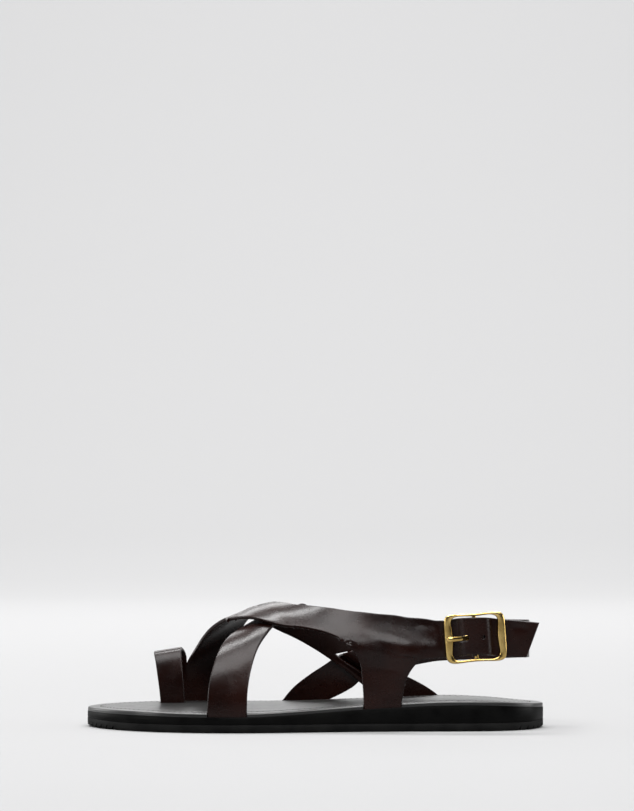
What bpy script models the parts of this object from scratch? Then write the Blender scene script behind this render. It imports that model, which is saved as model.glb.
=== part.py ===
"""Flat leather sandal, left shoe.

The toe points to -X, the heel to +X, the outer (lateral) side is -Y, up is +Z.
The origin is on the ground, in the middle of the sole's box. Units are metres.

The straps lie on a foot form: a row of half-oval sections over the footbed. A place on the
form is given by `along`, a share of the sole's length from its middle, and by `around`,
which runs from -1 at the lateral edge over 0 at the instep ridge to 1 at the medial edge.
Past 1 it goes straight down into the strap's pocket in the sole.
"""

import math

import bmesh
import bpy
import numpy as np

MM = 0.001

# Driving sizes of the sole
SOLE_LENGTH = 264 * MM
BALL_WIDTH = 94 * MM
FOOTBED_HEIGHT = 16.8 * MM
OUTSOLE_THICKNESS = 4.6 * MM
INSOLE_THICKNESS = 2.2 * MM
TOE_SPRING = 0.9 * MM
EDGE_BEVEL = 0.9 * MM
POCKET_LIP = 1.0 * MM
EDGE_CLEAR = 2.0 * MM
POCKET_DEPTH = 5.6 * MM
POCKET_AROUND = 1.6
GAP = 0.3 * MM

# Driving sizes of the straps
INSTEP_HEIGHT = 56.0 * MM
UPPER_WALL = 2.2 * MM
STRAP_WALL = 2.0 * MM
SKIVED_WALL = 1.0 * MM
TOE_LOOP_WIDTH = 23.4 * MM
TOE_LOOP_HEIGHT = 29.5 * MM
SLIT_FROM_EDGE = 0.32
SLIT_TO_EDGE = 0.69
SLIT_LIP_LEAN = 1.3 * MM

# Driving sizes of the tread
NOTCH_PITCH = 5.2 * MM
TOE_NOTCHES_TO = -0.43
HEEL_NOTCHES_FROM = 0.44
GROOVE_ZONES = ((-0.36, -0.10), (0.22, 0.42))
NOTCH_WIDTH = 2.6 * MM
NOTCH_HEIGHT = 2.8 * MM
NOTCH_REACH = 3.0 * MM
GROOVE_PITCH = 9.0 * MM
GROOVE_WIDTH = 1.8 * MM
GROOVE_DEPTH = 0.9 * MM
GROOVE_MARGIN = 9.0 * MM

# Driving sizes of the buckle
BUCKLE_LENGTH = 35.0 * MM
BUCKLE_HEIGHT = 29.0 * MM
BUCKLE_THICKNESS = 2.8 * MM
BUCKLE_SIDE_BAND = 3.3 * MM
BUCKLE_TOP_BAND = 1.6 * MM
BUCKLE_WAIST = 0.8 * MM
BUCKLE_EDGE = 0.5 * MM
BUCKLE_WINDOW_BEVEL = 1.2 * MM
BUCKLE_TURN = math.radians(4.2)
BAR_RADIUS = 1.2 * MM
BAR_SINK = 0.7 * MM
PRONG_WIDTH = 2.8 * MM
PRONG_THICKNESS = 1.8 * MM
PRONG_SHAFT = (
    # place, share of the buckle's length from its middle, depth behind the resting level
    ("tip", -0.470, 0.1 * MM),
    ("on the side bar", -0.425, 0.0),
    ("behind the side bar", -0.370, 0.2 * MM),
    ("sinking", -0.245, 1.5 * MM),
    ("at the hole", -0.160, 3.3 * MM),
)
PRONG_HOLE_FROM = -0.290
PRONG_HOLE_TO = -0.105
HOLE_PITCH = 11.3 * MM
HOLE_RADIUS = 1.4 * MM

STRAP_COLOUR = (0.035, 0.016, 0.012)
BRASS_COLOUR = (0.75, 0.55, 0.22)

# Mesh fineness
SOLE_STATIONS = 40
BAND_STEPS = 48
BUCKLED_STEPS = 30
BAND_COLUMNS = 6
LOOP_STEPS = 30
LOOP_COLUMNS = 5
LEG_STEPS = 12
CROSS_STEPS = 51
HEEL_FRONT_STEPS = 39
HEEL_ROUND_STEPS = 26
FOLD_STEPS = 9
COLUMNS_PER_SPAN = 2

# Plan outline of the sole, from the toe along the lateral side to the heel and back along the
# medial side: share of the length from the middle, share of the ball width (negative is lateral)
OUTLINE = (
    ("toe tip", -0.500, 0.085),
    ("little toe", -0.483, -0.064),
    ("little toe", -0.443, -0.218),
    ("little toe", -0.379, -0.362),
    ("lateral ball", -0.303, -0.457),
    ("lateral ball", -0.208, -0.500),
    ("lateral ball", -0.106, -0.489),
    ("lateral waist", 0.000, -0.441),
    ("lateral waist", 0.114, -0.394),
    ("lateral waist", 0.227, -0.367),
    ("lateral heel", 0.333, -0.354),
    ("lateral heel", 0.409, -0.319),
    ("lateral heel", 0.466, -0.218),
    ("lateral heel", 0.494, -0.085),
    ("heel tip", 0.500, 0.000),
    ("medial heel", 0.494, 0.085),
    ("medial heel", 0.466, 0.207),
    ("medial heel", 0.409, 0.303),
    ("medial heel", 0.333, 0.335),
    ("medial waist", 0.227, 0.330),
    ("medial waist", 0.114, 0.335),
    ("medial waist", 0.000, 0.378),
    ("medial ball", -0.106, 0.447),
    ("medial ball", -0.208, 0.496),
    ("medial ball", -0.303, 0.500),
    ("big toe", -0.379, 0.463),
    ("big toe", -0.443, 0.372),
    ("big toe", -0.483, 0.234),
)

# Footbed: along, height of its middle, crown towards the middle and rise of the lateral
# side, all as shares of FOOTBED_HEIGHT
FOOTBED = (
    ("toe tip", -0.500, 0.675, 0.000, 0.000),
    ("toes", -0.417, 0.720, 0.035, 0.000),
    ("ball", -0.227, 0.760, 0.075, -0.020),
    ("ball", -0.140, 0.762, 0.070, -0.020),
    ("waist", -0.030, 0.800, 0.040, -0.005),
    ("waist", 0.076, 0.880, 0.020, 0.010),
    ("waist", 0.189, 0.953, 0.010, 0.020),
    ("heel", 0.295, 1.000, 0.000, 0.025),
    ("heel", 0.379, 0.965, 0.000, 0.040),
    ("heel", 0.455, 0.890, 0.000, 0.040),
    ("heel tip", 0.500, 0.850, 0.000, 0.000),
)

# Foot form: along, height of the ridge above the footbed as a share of INSTEP_HEIGHT,
# the ridge's place across as a share of BALL_WIDTH, squareness of the medial section
FORM = (
    ("toes", -0.360, 0.38, 0.085, 3.0),
    ("toes", -0.284, 0.60, 0.067, 2.7),
    ("ball", -0.227, 0.755, 0.058, 2.5),
    ("instep", -0.189, 0.836, 0.050, 2.35),
    ("instep", -0.159, 0.892, 0.043, 2.3),
    ("instep", -0.133, 0.945, 0.040, 2.25),
    ("instep", -0.098, 0.985, 0.035, 2.2),
    ("instep", -0.045, 1.005, 0.027, 2.2),
    ("instep", 0.000, 1.040, 0.021, 2.2),
    ("ankle", 0.038, 1.100, 0.015, 2.2),
    ("ankle", 0.076, 1.185, 0.010, 2.2),
    ("ankle", 0.133, 1.390, 0.000, 2.2),
    ("ankle", 0.189, 1.650, -0.004, 2.2),
    ("ankle", 0.265, 1.940, -0.009, 2.2),
    ("heel", 0.350, 2.170, -0.010, 2.2),
    ("heel", 0.500, 2.210, -0.010, 2.2),
)
LATERAL_SQUARENESS = 2.15
FOOTBED_READ = 0.9

# Upper band from its medial root over the instep to the buckle. Level 0 lies on the form,
# level 1 lies over another strap.
BAND = (
    # place, front_along, front_around, rear_along, rear_around, level
    ("pocket", -0.2860, 1.600, -0.2120, 1.600, 0.00),
    ("medial root", -0.2856, 1.000, -0.2120, 1.000, 0.00),
    ("medial wall", -0.2850, 0.790, -0.2110, 0.900, 0.00),
    ("notch", -0.2850, 0.640, -0.2080, 0.800, 0.05),
    ("instep", -0.2650, 0.467, -0.1880, 0.625, 0.30),
    ("instep", -0.2350, 0.244, -0.1580, 0.370, 0.70),
    ("instep", -0.2110, 0.110, -0.1380, 0.250, 0.90),
    ("crossing", -0.1820, -0.030, -0.1140, 0.140, 1.00),
    ("crossing", -0.1520, -0.170, -0.0880, 0.030, 1.00),
    ("crossing", -0.1170, -0.310, -0.0620, -0.080, 1.00),
    ("crossing", -0.0800, -0.400, -0.0390, -0.165, 1.00),
    ("lateral", -0.0320, -0.450, -0.0070, -0.228, 0.85),
    ("lateral", 0.0130, -0.525, 0.0340, -0.330, 0.65),
    ("quarter", 0.0510, -0.613, 0.0680, -0.416, 0.45),
    ("quarter", 0.0830, -0.690, 0.1020, -0.496, 0.32),
    ("quarter", 0.1170, -0.765, 0.1360, -0.570, 0.25),
    ("quarter", 0.1550, -0.812, 0.1700, -0.632, 0.25),
    ("quarter", 0.1930, -0.842, 0.2010, -0.680, 0.35),
    ("ankle", 0.2290, -0.862, 0.2330, -0.712, 0.50),
    ("ankle", 0.2560, -0.868, 0.2580, -0.736, 0.68),
)

# Buckled end of the band, in the buckle's own directions from its centre: lower and upper
# edge along as shares of BUCKLE_LENGTH, lower and upper edge up as shares of
# BUCKLE_HEIGHT, and its rise from under the frame (0) to over the centre bar (1)
BUCKLED_END = (
    ("before the frame", -0.580, -0.536, -0.353, 0.379, 0.00),
    ("under the front bar", -0.443, -0.443, -0.362, 0.378, -0.03),
    ("rising", -0.286, -0.286, -0.352, 0.398, 0.17),
    ("rising", -0.160, -0.160, -0.335, 0.405, 0.80),
    ("over the centre bar", 0.000, 0.000, -0.325, 0.400, 1.00),
    ("falling", 0.160, 0.160, -0.350, 0.383, 0.80),
    ("falling", 0.286, 0.286, -0.388, 0.358, 0.17),
    ("under the rear bar", 0.446, 0.446, -0.423, 0.317, -0.03),
    ("tail", 0.674, 0.718, -0.454, 0.268, 0.02),
    ("cut end", 0.811, 1.063, -0.469, 0.196, 0.08),
)

# Leg of the quarter down to the lateral pocket: front and rear edge, along and around
LEG = (
    ("quarter", 0.0810, -0.713, 0.2170, -0.876),
    ("leg", 0.0970, -0.797, 0.2050, -0.899),
    ("leg", 0.1010, -0.872, 0.1970, -0.925),
    ("leg", 0.1035, -0.935, 0.1920, -0.958),
    ("lateral root", 0.1050, -1.000, 0.1870, -1.000),
    ("pocket", 0.1050, -1.600, 0.1870, -1.600),
)
LEG_LEVEL = 0.30
LEG_FROM_ALONG = 0.051
LEG_TO_ALONG = 0.232

# Toe loop: edges along, front and rear, by turn round the hoop from the medial root (0)
# over the crest (0.5) to the near foot (1)
TOE_LOOP = (
    ("medial root", 0.00, -0.341, -0.2856),
    ("medial wall", 0.30, -0.349, -0.2860),
    ("crest", 0.50, -0.357, -0.2970),
    ("near wall", 0.70, -0.353, -0.2950),
    ("near foot", 1.00, -0.340, -0.2880),
)
TOE_LOOP_TILT = 2.4 * MM
LOOP_ROOT_ALONG = -0.32
TOE_LOOP_SQUARENESS = 2.6

# Cross strap from the lateral ball under the upper to the medial arch
CROSS = (
    # place, front_along, front_around, front_level, rear_along, rear_around, rear_level
    ("pocket", -0.2315, -1.600, 0.00, -0.1465, -1.600, 0.00),
    ("lateral root", -0.2315, -1.000, 0.00, -0.1465, -1.000, 0.00),
    ("lateral wall", -0.2275, -0.797, 0.00, -0.1450, -0.875, 0.00),
    ("lateral wall", -0.2165, -0.590, -0.20, -0.1380, -0.730, 0.00),
    ("instep", -0.1980, -0.365, -0.78, -0.1235, -0.565, 0.00),
    ("instep", -0.1680, -0.150, -1.70, -0.1020, -0.430, -0.05),
    ("crossing", -0.1350, 0.000, -2.05, -0.0780, -0.300, -0.10),
    ("crossing", -0.1140, 0.180, -2.15, -0.0520, -0.150, -0.15),
    ("crossing", -0.0990, 0.340, -2.10, -0.0280, 0.030, -0.15),
    ("medial", -0.0800, 0.430, -1.90, -0.0070, 0.270, -0.10),
    ("medial", -0.0540, 0.520, -1.30, 0.0200, 0.500, 0.00),
    ("medial", -0.0110, 0.650, -0.45, 0.0600, 0.655, 0.00),
    ("medial", 0.0370, 0.784, 0.00, 0.1080, 0.790, 0.00),
    ("medial", 0.0700, 0.862, 0.00, 0.1400, 0.858, 0.00),
    ("medial", 0.1000, 0.935, 0.00, 0.1760, 0.910, 0.00),
    ("medial", 0.1200, 0.968, 0.00, 0.2150, 0.948, 0.00),
    ("medial root", 0.1360, 1.000, 0.00, 0.2727, 1.000, 0.00),
    ("pocket", 0.1360, 1.600, 0.00, 0.2727, 1.600, 0.00),
)
SLIT_ROWS = (11.50, 14.40)

# Heel strap from the medial pocket through the slit to the start of the heel's round
HEEL_FRONT = (
    # place, upper_along, upper_around, lower_along, lower_around, level
    ("pocket", -0.0727, 1.600, 0.0333, 1.600, 0.00),
    ("medial root", -0.0727, 1.000, 0.0333, 1.000, 0.00),
    ("rising", -0.0470, 0.925, 0.0510, 0.985, 0.22),
    ("rising", -0.0120, 0.855, 0.0700, 0.967, 0.70),
    ("outside the cross strap", 0.0170, 0.812, 0.0850, 0.950, 1.02),
    ("outside the cross strap", 0.0360, 0.785, 0.0980, 0.929, 1.12),
    ("front lip", 0.0490, 0.769, 0.1135, 0.914, 1.08),
    ("in the slit", 0.0590, 0.760, 0.1230, 0.908, 0.00),
    ("rear lip", 0.0680, 0.752, 0.1320, 0.904, -1.16),
    ("inside the cross strap", 0.0980, 0.744, 0.1580, 0.902, -1.26),
    ("inside the cross strap", 0.1400, 0.752, 0.1930, 0.903, -0.95),
    ("inside the cross strap", 0.1800, 0.762, 0.2200, 0.902, -0.75),
    ("medial heel", 0.2500, 0.780, 0.2650, 0.902, -0.20),
    ("medial heel", 0.3100, 0.792, 0.3120, 0.906, 0.00),
)
HEEL_CENTRE_ALONG = 0.358
HEEL_TUCK = 0.97
HEEL_TURN_END = 0.93
FORK_FROM = 0.40
FORK_TO = 0.60
FOLD_ANGLE = 192
HEEL_EDGE_UP = (
    # turn round the heel, lower and upper edge above the ground, shares of INSTEP_HEIGHT
    ("medial side", 0.0, 0.665, 1.055),
    ("back", 0.5, 0.720, 1.110),
    ("lateral side", 1.0, 0.775, 1.150),
)

BUCKLE_CENTRE_ALONG = 0.3466
BUCKLE_CENTRE_UP = 0.959


def spline(points, t):
    """Catmull-Rom value of a list of equal tuples at t, counted in rows."""
    rows = np.asarray(points, dtype=float)
    last = len(rows) - 1
    i = min(max(int(math.floor(t)), 0), last - 1)
    f = t - i
    before = rows[i - 1] if i > 0 else 2 * rows[0] - rows[1]
    after = rows[i + 2] if i + 2 <= last else 2 * rows[last] - rows[last - 1]
    a = rows[i]
    b = rows[i + 1]
    return 0.5 * (2 * a + (b - before) * f + (2 * before - 5 * a + 4 * b - after) * f ** 2
                  + (3 * a - before - 3 * b + after) * f ** 3)


def strap_row(table, t):
    """Values of a strap's table at row t; rows marked pocket are reached in straight lines."""
    first = min(max(int(math.floor(t)), 0), len(table) - 2)
    if "pocket" in (table[first][0], table[first + 1][0]):
        f = t - first
        return np.array(table[first][1:]) * (1 - f) + np.array(table[first + 1][1:]) * f
    skipped = 1 if table[0][0] == "pocket" else 0
    return spline([row[1:] for row in table if row[0] != "pocket"], t - skipped)


def by_along(table, along):
    """Smooth values of a table's columns at a place along the shoe."""
    places = np.array([row[1] for row in table])
    values = np.array([row[2:] for row in table])
    x = min(max(along, places[0]), places[-1])
    slopes = np.gradient(values, places, axis=0)
    i = min(max(int(np.searchsorted(places, x)) - 1, 0), len(places) - 2)
    step = places[i + 1] - places[i]
    t = (x - places[i]) / step
    return ((2 * t ** 3 - 3 * t ** 2 + 1) * values[i] + (t ** 3 - 2 * t ** 2 + t) * step * slopes[i]
            + (3 * t ** 2 - 2 * t ** 3) * values[i + 1] + (t ** 3 - t ** 2) * step * slopes[i + 1])


def sole_edges():
    """Lateral and medial half of the plan outline as dense curves, toe to heel."""
    points = np.array([row[1:] for row in OUTLINE])
    count = len(points)
    dense = []
    for i in range(count):
        four = [points[(i + k) % count] for k in (-1, 0, 1, 2)]
        for step in range(24):
            dense.append(spline(four, 1 + step / 24))
    curve = np.array(dense)
    for axis, size in ((0, SOLE_LENGTH), (1, BALL_WIDTH)):
        low = curve[:, axis].min()
        curve[:, axis] = ((curve[:, axis] - low) / np.ptp(curve[:, axis]) - 0.5) * size
    toe = int(curve[:, 0].argmin())
    heel = int(curve[:, 0].argmax())
    lateral = curve[toe:heel + 1]
    medial = np.vstack([curve[heel:], curve[:toe + 1]])[::-1]
    return lateral, medial


LATERAL_EDGE, MEDIAL_EDGE = sole_edges()


def edge_y(side, x):
    """Place across of the sole's edge; side is -1 for lateral and 1 for medial."""
    edge = LATERAL_EDGE if side < 0 else MEDIAL_EDGE
    return float(np.interp(x, edge[:, 0], edge[:, 1]))


def footbed_z(x, y=None):
    """Height of the footbed at a place; without y, at the middle of the shoe."""
    height, crown, rise = by_along(FOOTBED, x / SOLE_LENGTH)
    if y is None:
        return height * FOOTBED_HEIGHT
    low = edge_y(-1, x)
    high = edge_y(1, x)
    v = 0.0
    if high - low > MM:
        v = max(-1.0, min(1.0, (2 * y - low - high) / (high - low)))
    return (height - crown * v * v - rise * v) * FOOTBED_HEIGHT


def ground_z(x):
    """Height of the sole's underside: flat, with a slight spring at toe and heel tip."""
    toe = max(0.0, -0.40 - x / SOLE_LENGTH) / 0.10
    heel = max(0.0, x / SOLE_LENGTH - 0.455) / 0.045
    return TOE_SPRING * (toe ** 2 + 0.9 * heel ** 2)


def tread_top_z(x):
    return ground_z(x) + OUTSOLE_THICKNESS


def insole_under_z(x, y):
    return footbed_z(x, y) - INSOLE_THICKNESS


def edge_inset(wall):
    """Distance from the sole's edge to the inner face of a strap in its pocket."""
    return POCKET_LIP + GAP + wall


def form_point(along, around, wall=UPPER_WALL):
    """Point of the foot form in metres."""
    x = along * SOLE_LENGTH
    side = 1 if around > 0 else -1
    height, ridge, medial_square = by_along(FORM, along)
    square = medial_square if side > 0 else LATERAL_SQUARENESS
    ridge_y = ridge * BALL_WIDTH
    edge = edge_y(side, x)
    base = footbed_z(x, edge * FOOTBED_READ)
    half = abs(edge - ridge_y) - edge_inset(wall)
    if abs(around) > 1:
        down = POCKET_DEPTH * (abs(around) - 1) / (POCKET_AROUND - 1)
        return np.array([x, ridge_y + side * half, base - down])
    angle = (1 - abs(around)) * math.pi / 2
    across = math.cos(angle) ** (2 / square)
    up = math.sin(angle) ** (2 / square)
    return np.array([x, ridge_y + side * half * across, base + height * INSTEP_HEIGHT * up])


def lifted(along, around, lift, wall=UPPER_WALL):
    """Point at a distance outside the form."""
    point = form_point(along, around, wall)
    if abs(around) >= 1:
        side = 1 if around > 0 else -1
        return point + np.array([0, side * lift, 0])
    step = 0.002
    over = form_point(along, min(around + step, 0.9999), wall)
    under = form_point(along, max(around - step, -0.9999), wall)
    ahead = form_point(along + step, around, wall)
    behind = form_point(along - step, around, wall)
    normal = np.cross(over - under, ahead - behind)
    normal /= np.linalg.norm(normal)
    middle = np.array([point[0], 0, footbed_z(point[0])])
    if np.dot(normal, point - middle) < 0:
        normal = -normal
    return point + normal * lift


def level_lift(level, wall):
    """Distance of a strap's middle from the form at a level."""
    return wall / 2 + level * (STRAP_WALL + GAP)


class Sheet:
    """Middle surface of a strap: points with their own wall, and faces between them."""

    def __init__(self):
        self.points = []
        self.walls = []
        self.faces = []

    def add_points(self, points, wall):
        first = len(self.points)
        self.points.extend(np.asarray(p, dtype=float) for p in points)
        self.walls.extend([wall] * len(points))
        return list(range(first, first + len(points)))

    def add_grid(self, rows, skip=lambda row, column: False):
        """Faces between rows of point numbers."""
        for i in range(len(rows) - 1):
            for j in range(len(rows[i]) - 1):
                if not skip(i, j):
                    corners = (rows[i][j], rows[i + 1][j], rows[i + 1][j + 1], rows[i][j + 1])
                    if len(set(corners)) == 4:
                        self.faces.append(corners)

    def normals(self):
        points = np.array(self.points)
        total = np.zeros_like(points)
        for face in self.faces:
            corners = points[list(face)]
            normal = np.cross(corners[2] - corners[0], corners[3] - corners[1])
            for index in face:
                total[index] += normal
        length = np.linalg.norm(total, axis=1)
        return total / np.maximum(length, 1e-12)[:, None]

    def solid(self, name):
        """Closed mesh with the wall's thickness round the middle surface."""
        points = np.array(self.points)
        offset = self.normals() * (np.array(self.walls) / 2)[:, None]
        count = len(points)
        vertices = [tuple(p) for p in points + offset] + [tuple(p) for p in points - offset]
        edges = {}
        faces = []
        for face in self.faces:
            faces.append(face)
            faces.append(tuple(index + count for index in reversed(face)))
            for a, b in zip(face, face[1:] + face[:1]):
                edges[(a, b)] = edges.get((a, b), 0) + 1
        for a, b in edges:
            if (b, a) not in edges:
                faces.append((b, a, a + count, b + count))
        return mesh_object(name, vertices, faces)


def mesh_object(name, vertices, faces):
    mesh = bpy.data.meshes.new(name)
    mesh.from_pydata([tuple(v) for v in vertices], [], faces)
    shape = bmesh.new()
    shape.from_mesh(mesh)
    loose = [v for v in shape.verts if not v.link_faces]
    bmesh.ops.delete(shape, geom=loose, context="VERTS")
    bmesh.ops.triangulate(shape, faces=[f for f in shape.faces if len(f.verts) > 3])
    bmesh.ops.recalc_face_normals(shape, faces=shape.faces)
    if shape.calc_volume(signed=True) < 0:
        bmesh.ops.reverse_faces(shape, faces=shape.faces)
    shape.to_mesh(mesh)
    shape.free()
    piece = bpy.data.objects.new(name, mesh)
    bpy.context.collection.objects.link(piece)
    return piece


def finish(piece, colour, roughness, metallic=0.0, sharp=35):
    """Give a piece its own material and smooth shading with sharp rims."""
    material = bpy.data.materials.new(piece.name)
    material.use_nodes = True
    shader = material.node_tree.nodes["Principled BSDF"]
    shader.inputs["Base Color"].default_value = (*colour, 1)
    shader.inputs["Roughness"].default_value = roughness
    shader.inputs["Metallic"].default_value = metallic
    piece.data.materials.append(material)
    piece.data.shade_smooth()
    piece.data.set_sharp_from_angle(angle=math.radians(sharp))


def cut(piece, cutter):
    """Cut one piece with another, which stays as a hidden guide."""
    cutter.hide_render = True
    cutter.display_type = "WIRE"
    modifier = piece.modifiers.new("cut " + cutter.name, "BOOLEAN")
    modifier.operation = "DIFFERENCE"
    modifier.solver = "EXACT"
    modifier.object = cutter


def join(piece, other):
    other.hide_render = True
    other.display_type = "WIRE"
    modifier = piece.modifiers.new("join " + other.name, "BOOLEAN")
    modifier.operation = "UNION"
    modifier.solver = "EXACT"
    modifier.object = other


def place_on(edge, share):
    """Point of a half outline at a share of its length from the toe."""
    travelled = np.concatenate([[0], np.cumsum(np.linalg.norm(np.diff(edge, axis=0), axis=1))])
    mark = share * travelled[-1]
    return np.array([np.interp(mark, travelled, edge[:, 0]), np.interp(mark, travelled, edge[:, 1])])


def outline_ring(inset):
    """Outline moved inwards: lateral points from toe to heel, then medial ones back."""
    shares = [k / SOLE_STATIONS for k in range(SOLE_STATIONS + 1)]
    ring = [place_on(LATERAL_EDGE, s) for s in shares]
    ring += [place_on(MEDIAL_EDGE, s) for s in shares[-2:0:-1]]
    count = len(ring)
    moved = []
    for i in range(count):
        tangent = ring[(i + 1) % count] - ring[i - 1]
        tangent /= np.linalg.norm(tangent)
        moved.append(ring[i] + inset * np.array([-tangent[1], tangent[0]]))
    return moved


def sole_layer(name, rings, columns):
    """Closed layer of the sole from its lowest ring (inset, height) to its highest."""
    vertices = []
    faces = []
    loops = []
    for inset, height in rings:
        ring = outline_ring(inset)
        first = len(vertices)
        vertices.extend((p[0], p[1], height(p[0], p[1])) for p in ring)
        loops.append(list(range(first, first + len(ring))))
    for low, high in zip(loops, loops[1:]):
        for i in range(len(low)):
            j = (i + 1) % len(low)
            faces.append((low[i], low[j], high[j], high[i]))
    for loop, (inset, height) in ((loops[0], rings[0]), (loops[-1], rings[-1])):
        count = len(loop)
        rows = [[loop[0]] * (columns + 1)]
        for k in range(1, SOLE_STATIONS):
            a = np.array(vertices[loop[k]][:2])
            b = np.array(vertices[loop[count - k]][:2])
            row = [loop[k]]
            for c in range(1, columns):
                p = a + (b - a) * c / columns
                row.append(len(vertices))
                vertices.append((p[0], p[1], height(p[0], p[1])))
            row.append(loop[count - k])
            rows.append(row)
        rows.append([loop[SOLE_STATIONS]] * (columns + 1))
        for upper, lower in zip(rows, rows[1:]):
            for c in range(columns):
                corners = [upper[c], lower[c], lower[c + 1], upper[c + 1]]
                face = []
                for corner in corners:
                    if corner not in face:
                        face.append(corner)
                faces.append(tuple(face))
    return mesh_object(name, vertices, faces)


def prism(name, polygon, low, high):
    """Upright prism over a polygon of (x, y)."""
    count = len(polygon)
    vertices = [(p[0], p[1], low) for p in polygon] + [(p[0], p[1], high) for p in polygon]
    faces = [tuple(range(count)), tuple(range(count, 2 * count))]
    faces += [(i, (i + 1) % count, count + (i + 1) % count, count + i) for i in range(count)]
    return mesh_object(name, vertices, faces)


def edge_strip(side, x_from, x_to, outer, inner):
    """Polygon along the sole's edge between two insets."""
    xs = np.linspace(x_from, x_to, 17)
    polygon = [(x, edge_y(side, x) - side * outer) for x in xs]
    polygon += [(x, edge_y(side, x) - side * inner) for x in xs[::-1]]
    return polygon


def named(table, place):
    """First row of a table with this place."""
    return next(row for row in table if row[0] == place)


def strap_roots():
    """Where straps enter the sole's edge: name, side, from and to along, wall."""
    return (
        ("upper_medial", 1, TOE_LOOP[0][2], named(BAND, "medial root")[3], UPPER_WALL),
        ("upper_leg", -1, named(LEG, "lateral root")[1], named(LEG, "lateral root")[3],
         UPPER_WALL),
        ("cross_lateral", -1, named(CROSS, "lateral root")[1], named(CROSS, "lateral root")[4],
         STRAP_WALL),
        ("cross_medial", 1, named(CROSS, "medial root")[1], named(CROSS, "medial root")[4],
         STRAP_WALL),
        ("heel_medial", 1, named(HEEL_FRONT, "medial root")[1],
         named(HEEL_FRONT, "medial root")[3], STRAP_WALL),
    )


def join_cutters(name, pieces):
    """One mesh from several cutters that don't touch."""
    shape = bmesh.new()
    for piece in pieces:
        shape.from_mesh(piece.data)
        bpy.data.objects.remove(piece)
    mesh = bpy.data.meshes.new(name)
    shape.to_mesh(mesh)
    shape.free()
    cutter = bpy.data.objects.new(name, mesh)
    bpy.context.collection.objects.link(cutter)
    return cutter


def loop_centre_y():
    x = LOOP_ROOT_ALONG * SOLE_LENGTH
    return edge_y(1, x) - edge_inset(UPPER_WALL) + UPPER_WALL / 2 - TOE_LOOP_WIDTH / 2


def pocket_cutters(outer_inset, low_of):
    """Prisms for every strap root; low_of gives the floor at a place along."""
    pieces = []
    for name, side, start, end, wall in strap_roots():
        x_from = start * SOLE_LENGTH - GAP
        x_to = end * SOLE_LENGTH + GAP
        inner = edge_inset(wall) + GAP
        strip = edge_strip(side, x_from, x_to, outer_inset, inner)
        low = min(low_of(x_from, side), low_of(x_to, side))
        pieces.append(prism("pocket " + name, strip, low, 2 * FOOTBED_HEIGHT))
    near = loop_centre_y() - TOE_LOOP_WIDTH / 2
    half = UPPER_WALL / 2 + 2 * GAP
    x_from = TOE_LOOP[-1][2] * SOLE_LENGTH - 4 * GAP
    x_to = TOE_LOOP[-1][3] * SOLE_LENGTH + 2 * GAP
    slot = [(x_from, near - half), (x_to, near - half), (x_to, near + half), (x_from, near + half)]
    low = min(low_of(x_from, 0), low_of(x_to, 0))
    pieces.append(prism("slot toe loop", slot, low, 2 * FOOTBED_HEIGHT))
    return pieces


def build_outsole():
    outsole = sole_layer("outsole", (
        (EDGE_BEVEL, lambda x, y: ground_z(x)),
        (0.0, lambda x, y: ground_z(x) + EDGE_BEVEL),
        (0.0, lambda x, y: tread_top_z(x)),
    ), 2)
    cut(outsole, build_tread_cutter())
    finish(outsole, (0.012, 0.012, 0.012), 0.6)


def notch_prism(x, y, inward, along):
    """Slanted notch in the tread's lower edge at one place of the outline."""
    start = np.array([x, y]) - inward * NOTCH_REACH
    end = np.array([x, y]) + inward * NOTCH_REACH
    low = ground_z(x) - MM
    vertices = []
    for place in (start, end):
        for shift, height in ((-0.5, low), (0.5, low), (0.9, ground_z(x) + NOTCH_HEIGHT)):
            p = place + along * shift * NOTCH_WIDTH
            vertices.append((p[0], p[1], height))
    faces = [(0, 1, 2), (3, 4, 5), (0, 1, 4, 3), (1, 2, 5, 4), (2, 0, 3, 5)]
    return mesh_object("notch", vertices, faces)


def build_tread_cutter():
    """Edge notches round toe and heel, and cross grooves under ball and heel."""
    ring = [p for p in LATERAL_EDGE] + [p for p in MEDIAL_EDGE[::-1]]
    length = sum(float(np.linalg.norm(b - a)) for a, b in zip(ring, ring[1:]))
    travelled = 0.0
    next_notch = 0.0
    pieces = []
    for i in range(len(ring)):
        p = ring[i]
        q = ring[(i + 1) % len(ring)]
        step = float(np.linalg.norm(q - p))
        if step < 1e-9:
            continue
        along = (q - p) / step
        share = p[0] / SOLE_LENGTH
        at_tip = share < TOE_NOTCHES_TO or share > HEEL_NOTCHES_FROM
        if at_tip and next_notch <= travelled < length - NOTCH_PITCH:
            inward = np.array([-along[1], along[0]])
            pieces.append(notch_prism(p[0], p[1], inward, along))
            next_notch = travelled + NOTCH_PITCH
        travelled += step
    for start, end in GROOVE_ZONES:
        x = start * SOLE_LENGTH
        while x < end * SOLE_LENGTH:
            low = edge_y(-1, x) + GROOVE_MARGIN
            high = edge_y(1, x) - GROOVE_MARGIN
            half = GROOVE_WIDTH / 2
            corners = [(x - half, low), (x + half, low), (x + half, high), (x - half, high)]
            pieces.append(prism("groove", corners, -MM, GROOVE_DEPTH))
            x += GROOVE_PITCH
    return join_cutters("tread cutter", pieces)


def build_midsole():
    midsole = sole_layer("midsole", (
        (0.0, lambda x, y: tread_top_z(x) + GAP),
        (0.0, lambda x, y: insole_under_z(x, y) - GAP),
    ), 4)
    pockets = join_cutters("midsole pockets", pocket_cutters(POCKET_LIP, root_floor))
    cut(midsole, pockets)
    finish(midsole, (0.010, 0.010, 0.010), 0.5)


def root_floor(x, side):
    """Floor of a pocket by the sole's edge, or by its middle for side 0."""
    y = edge_y(side, x) * FOOTBED_READ if side else None
    return footbed_z(x, y) - POCKET_DEPTH - 2 * GAP


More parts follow.
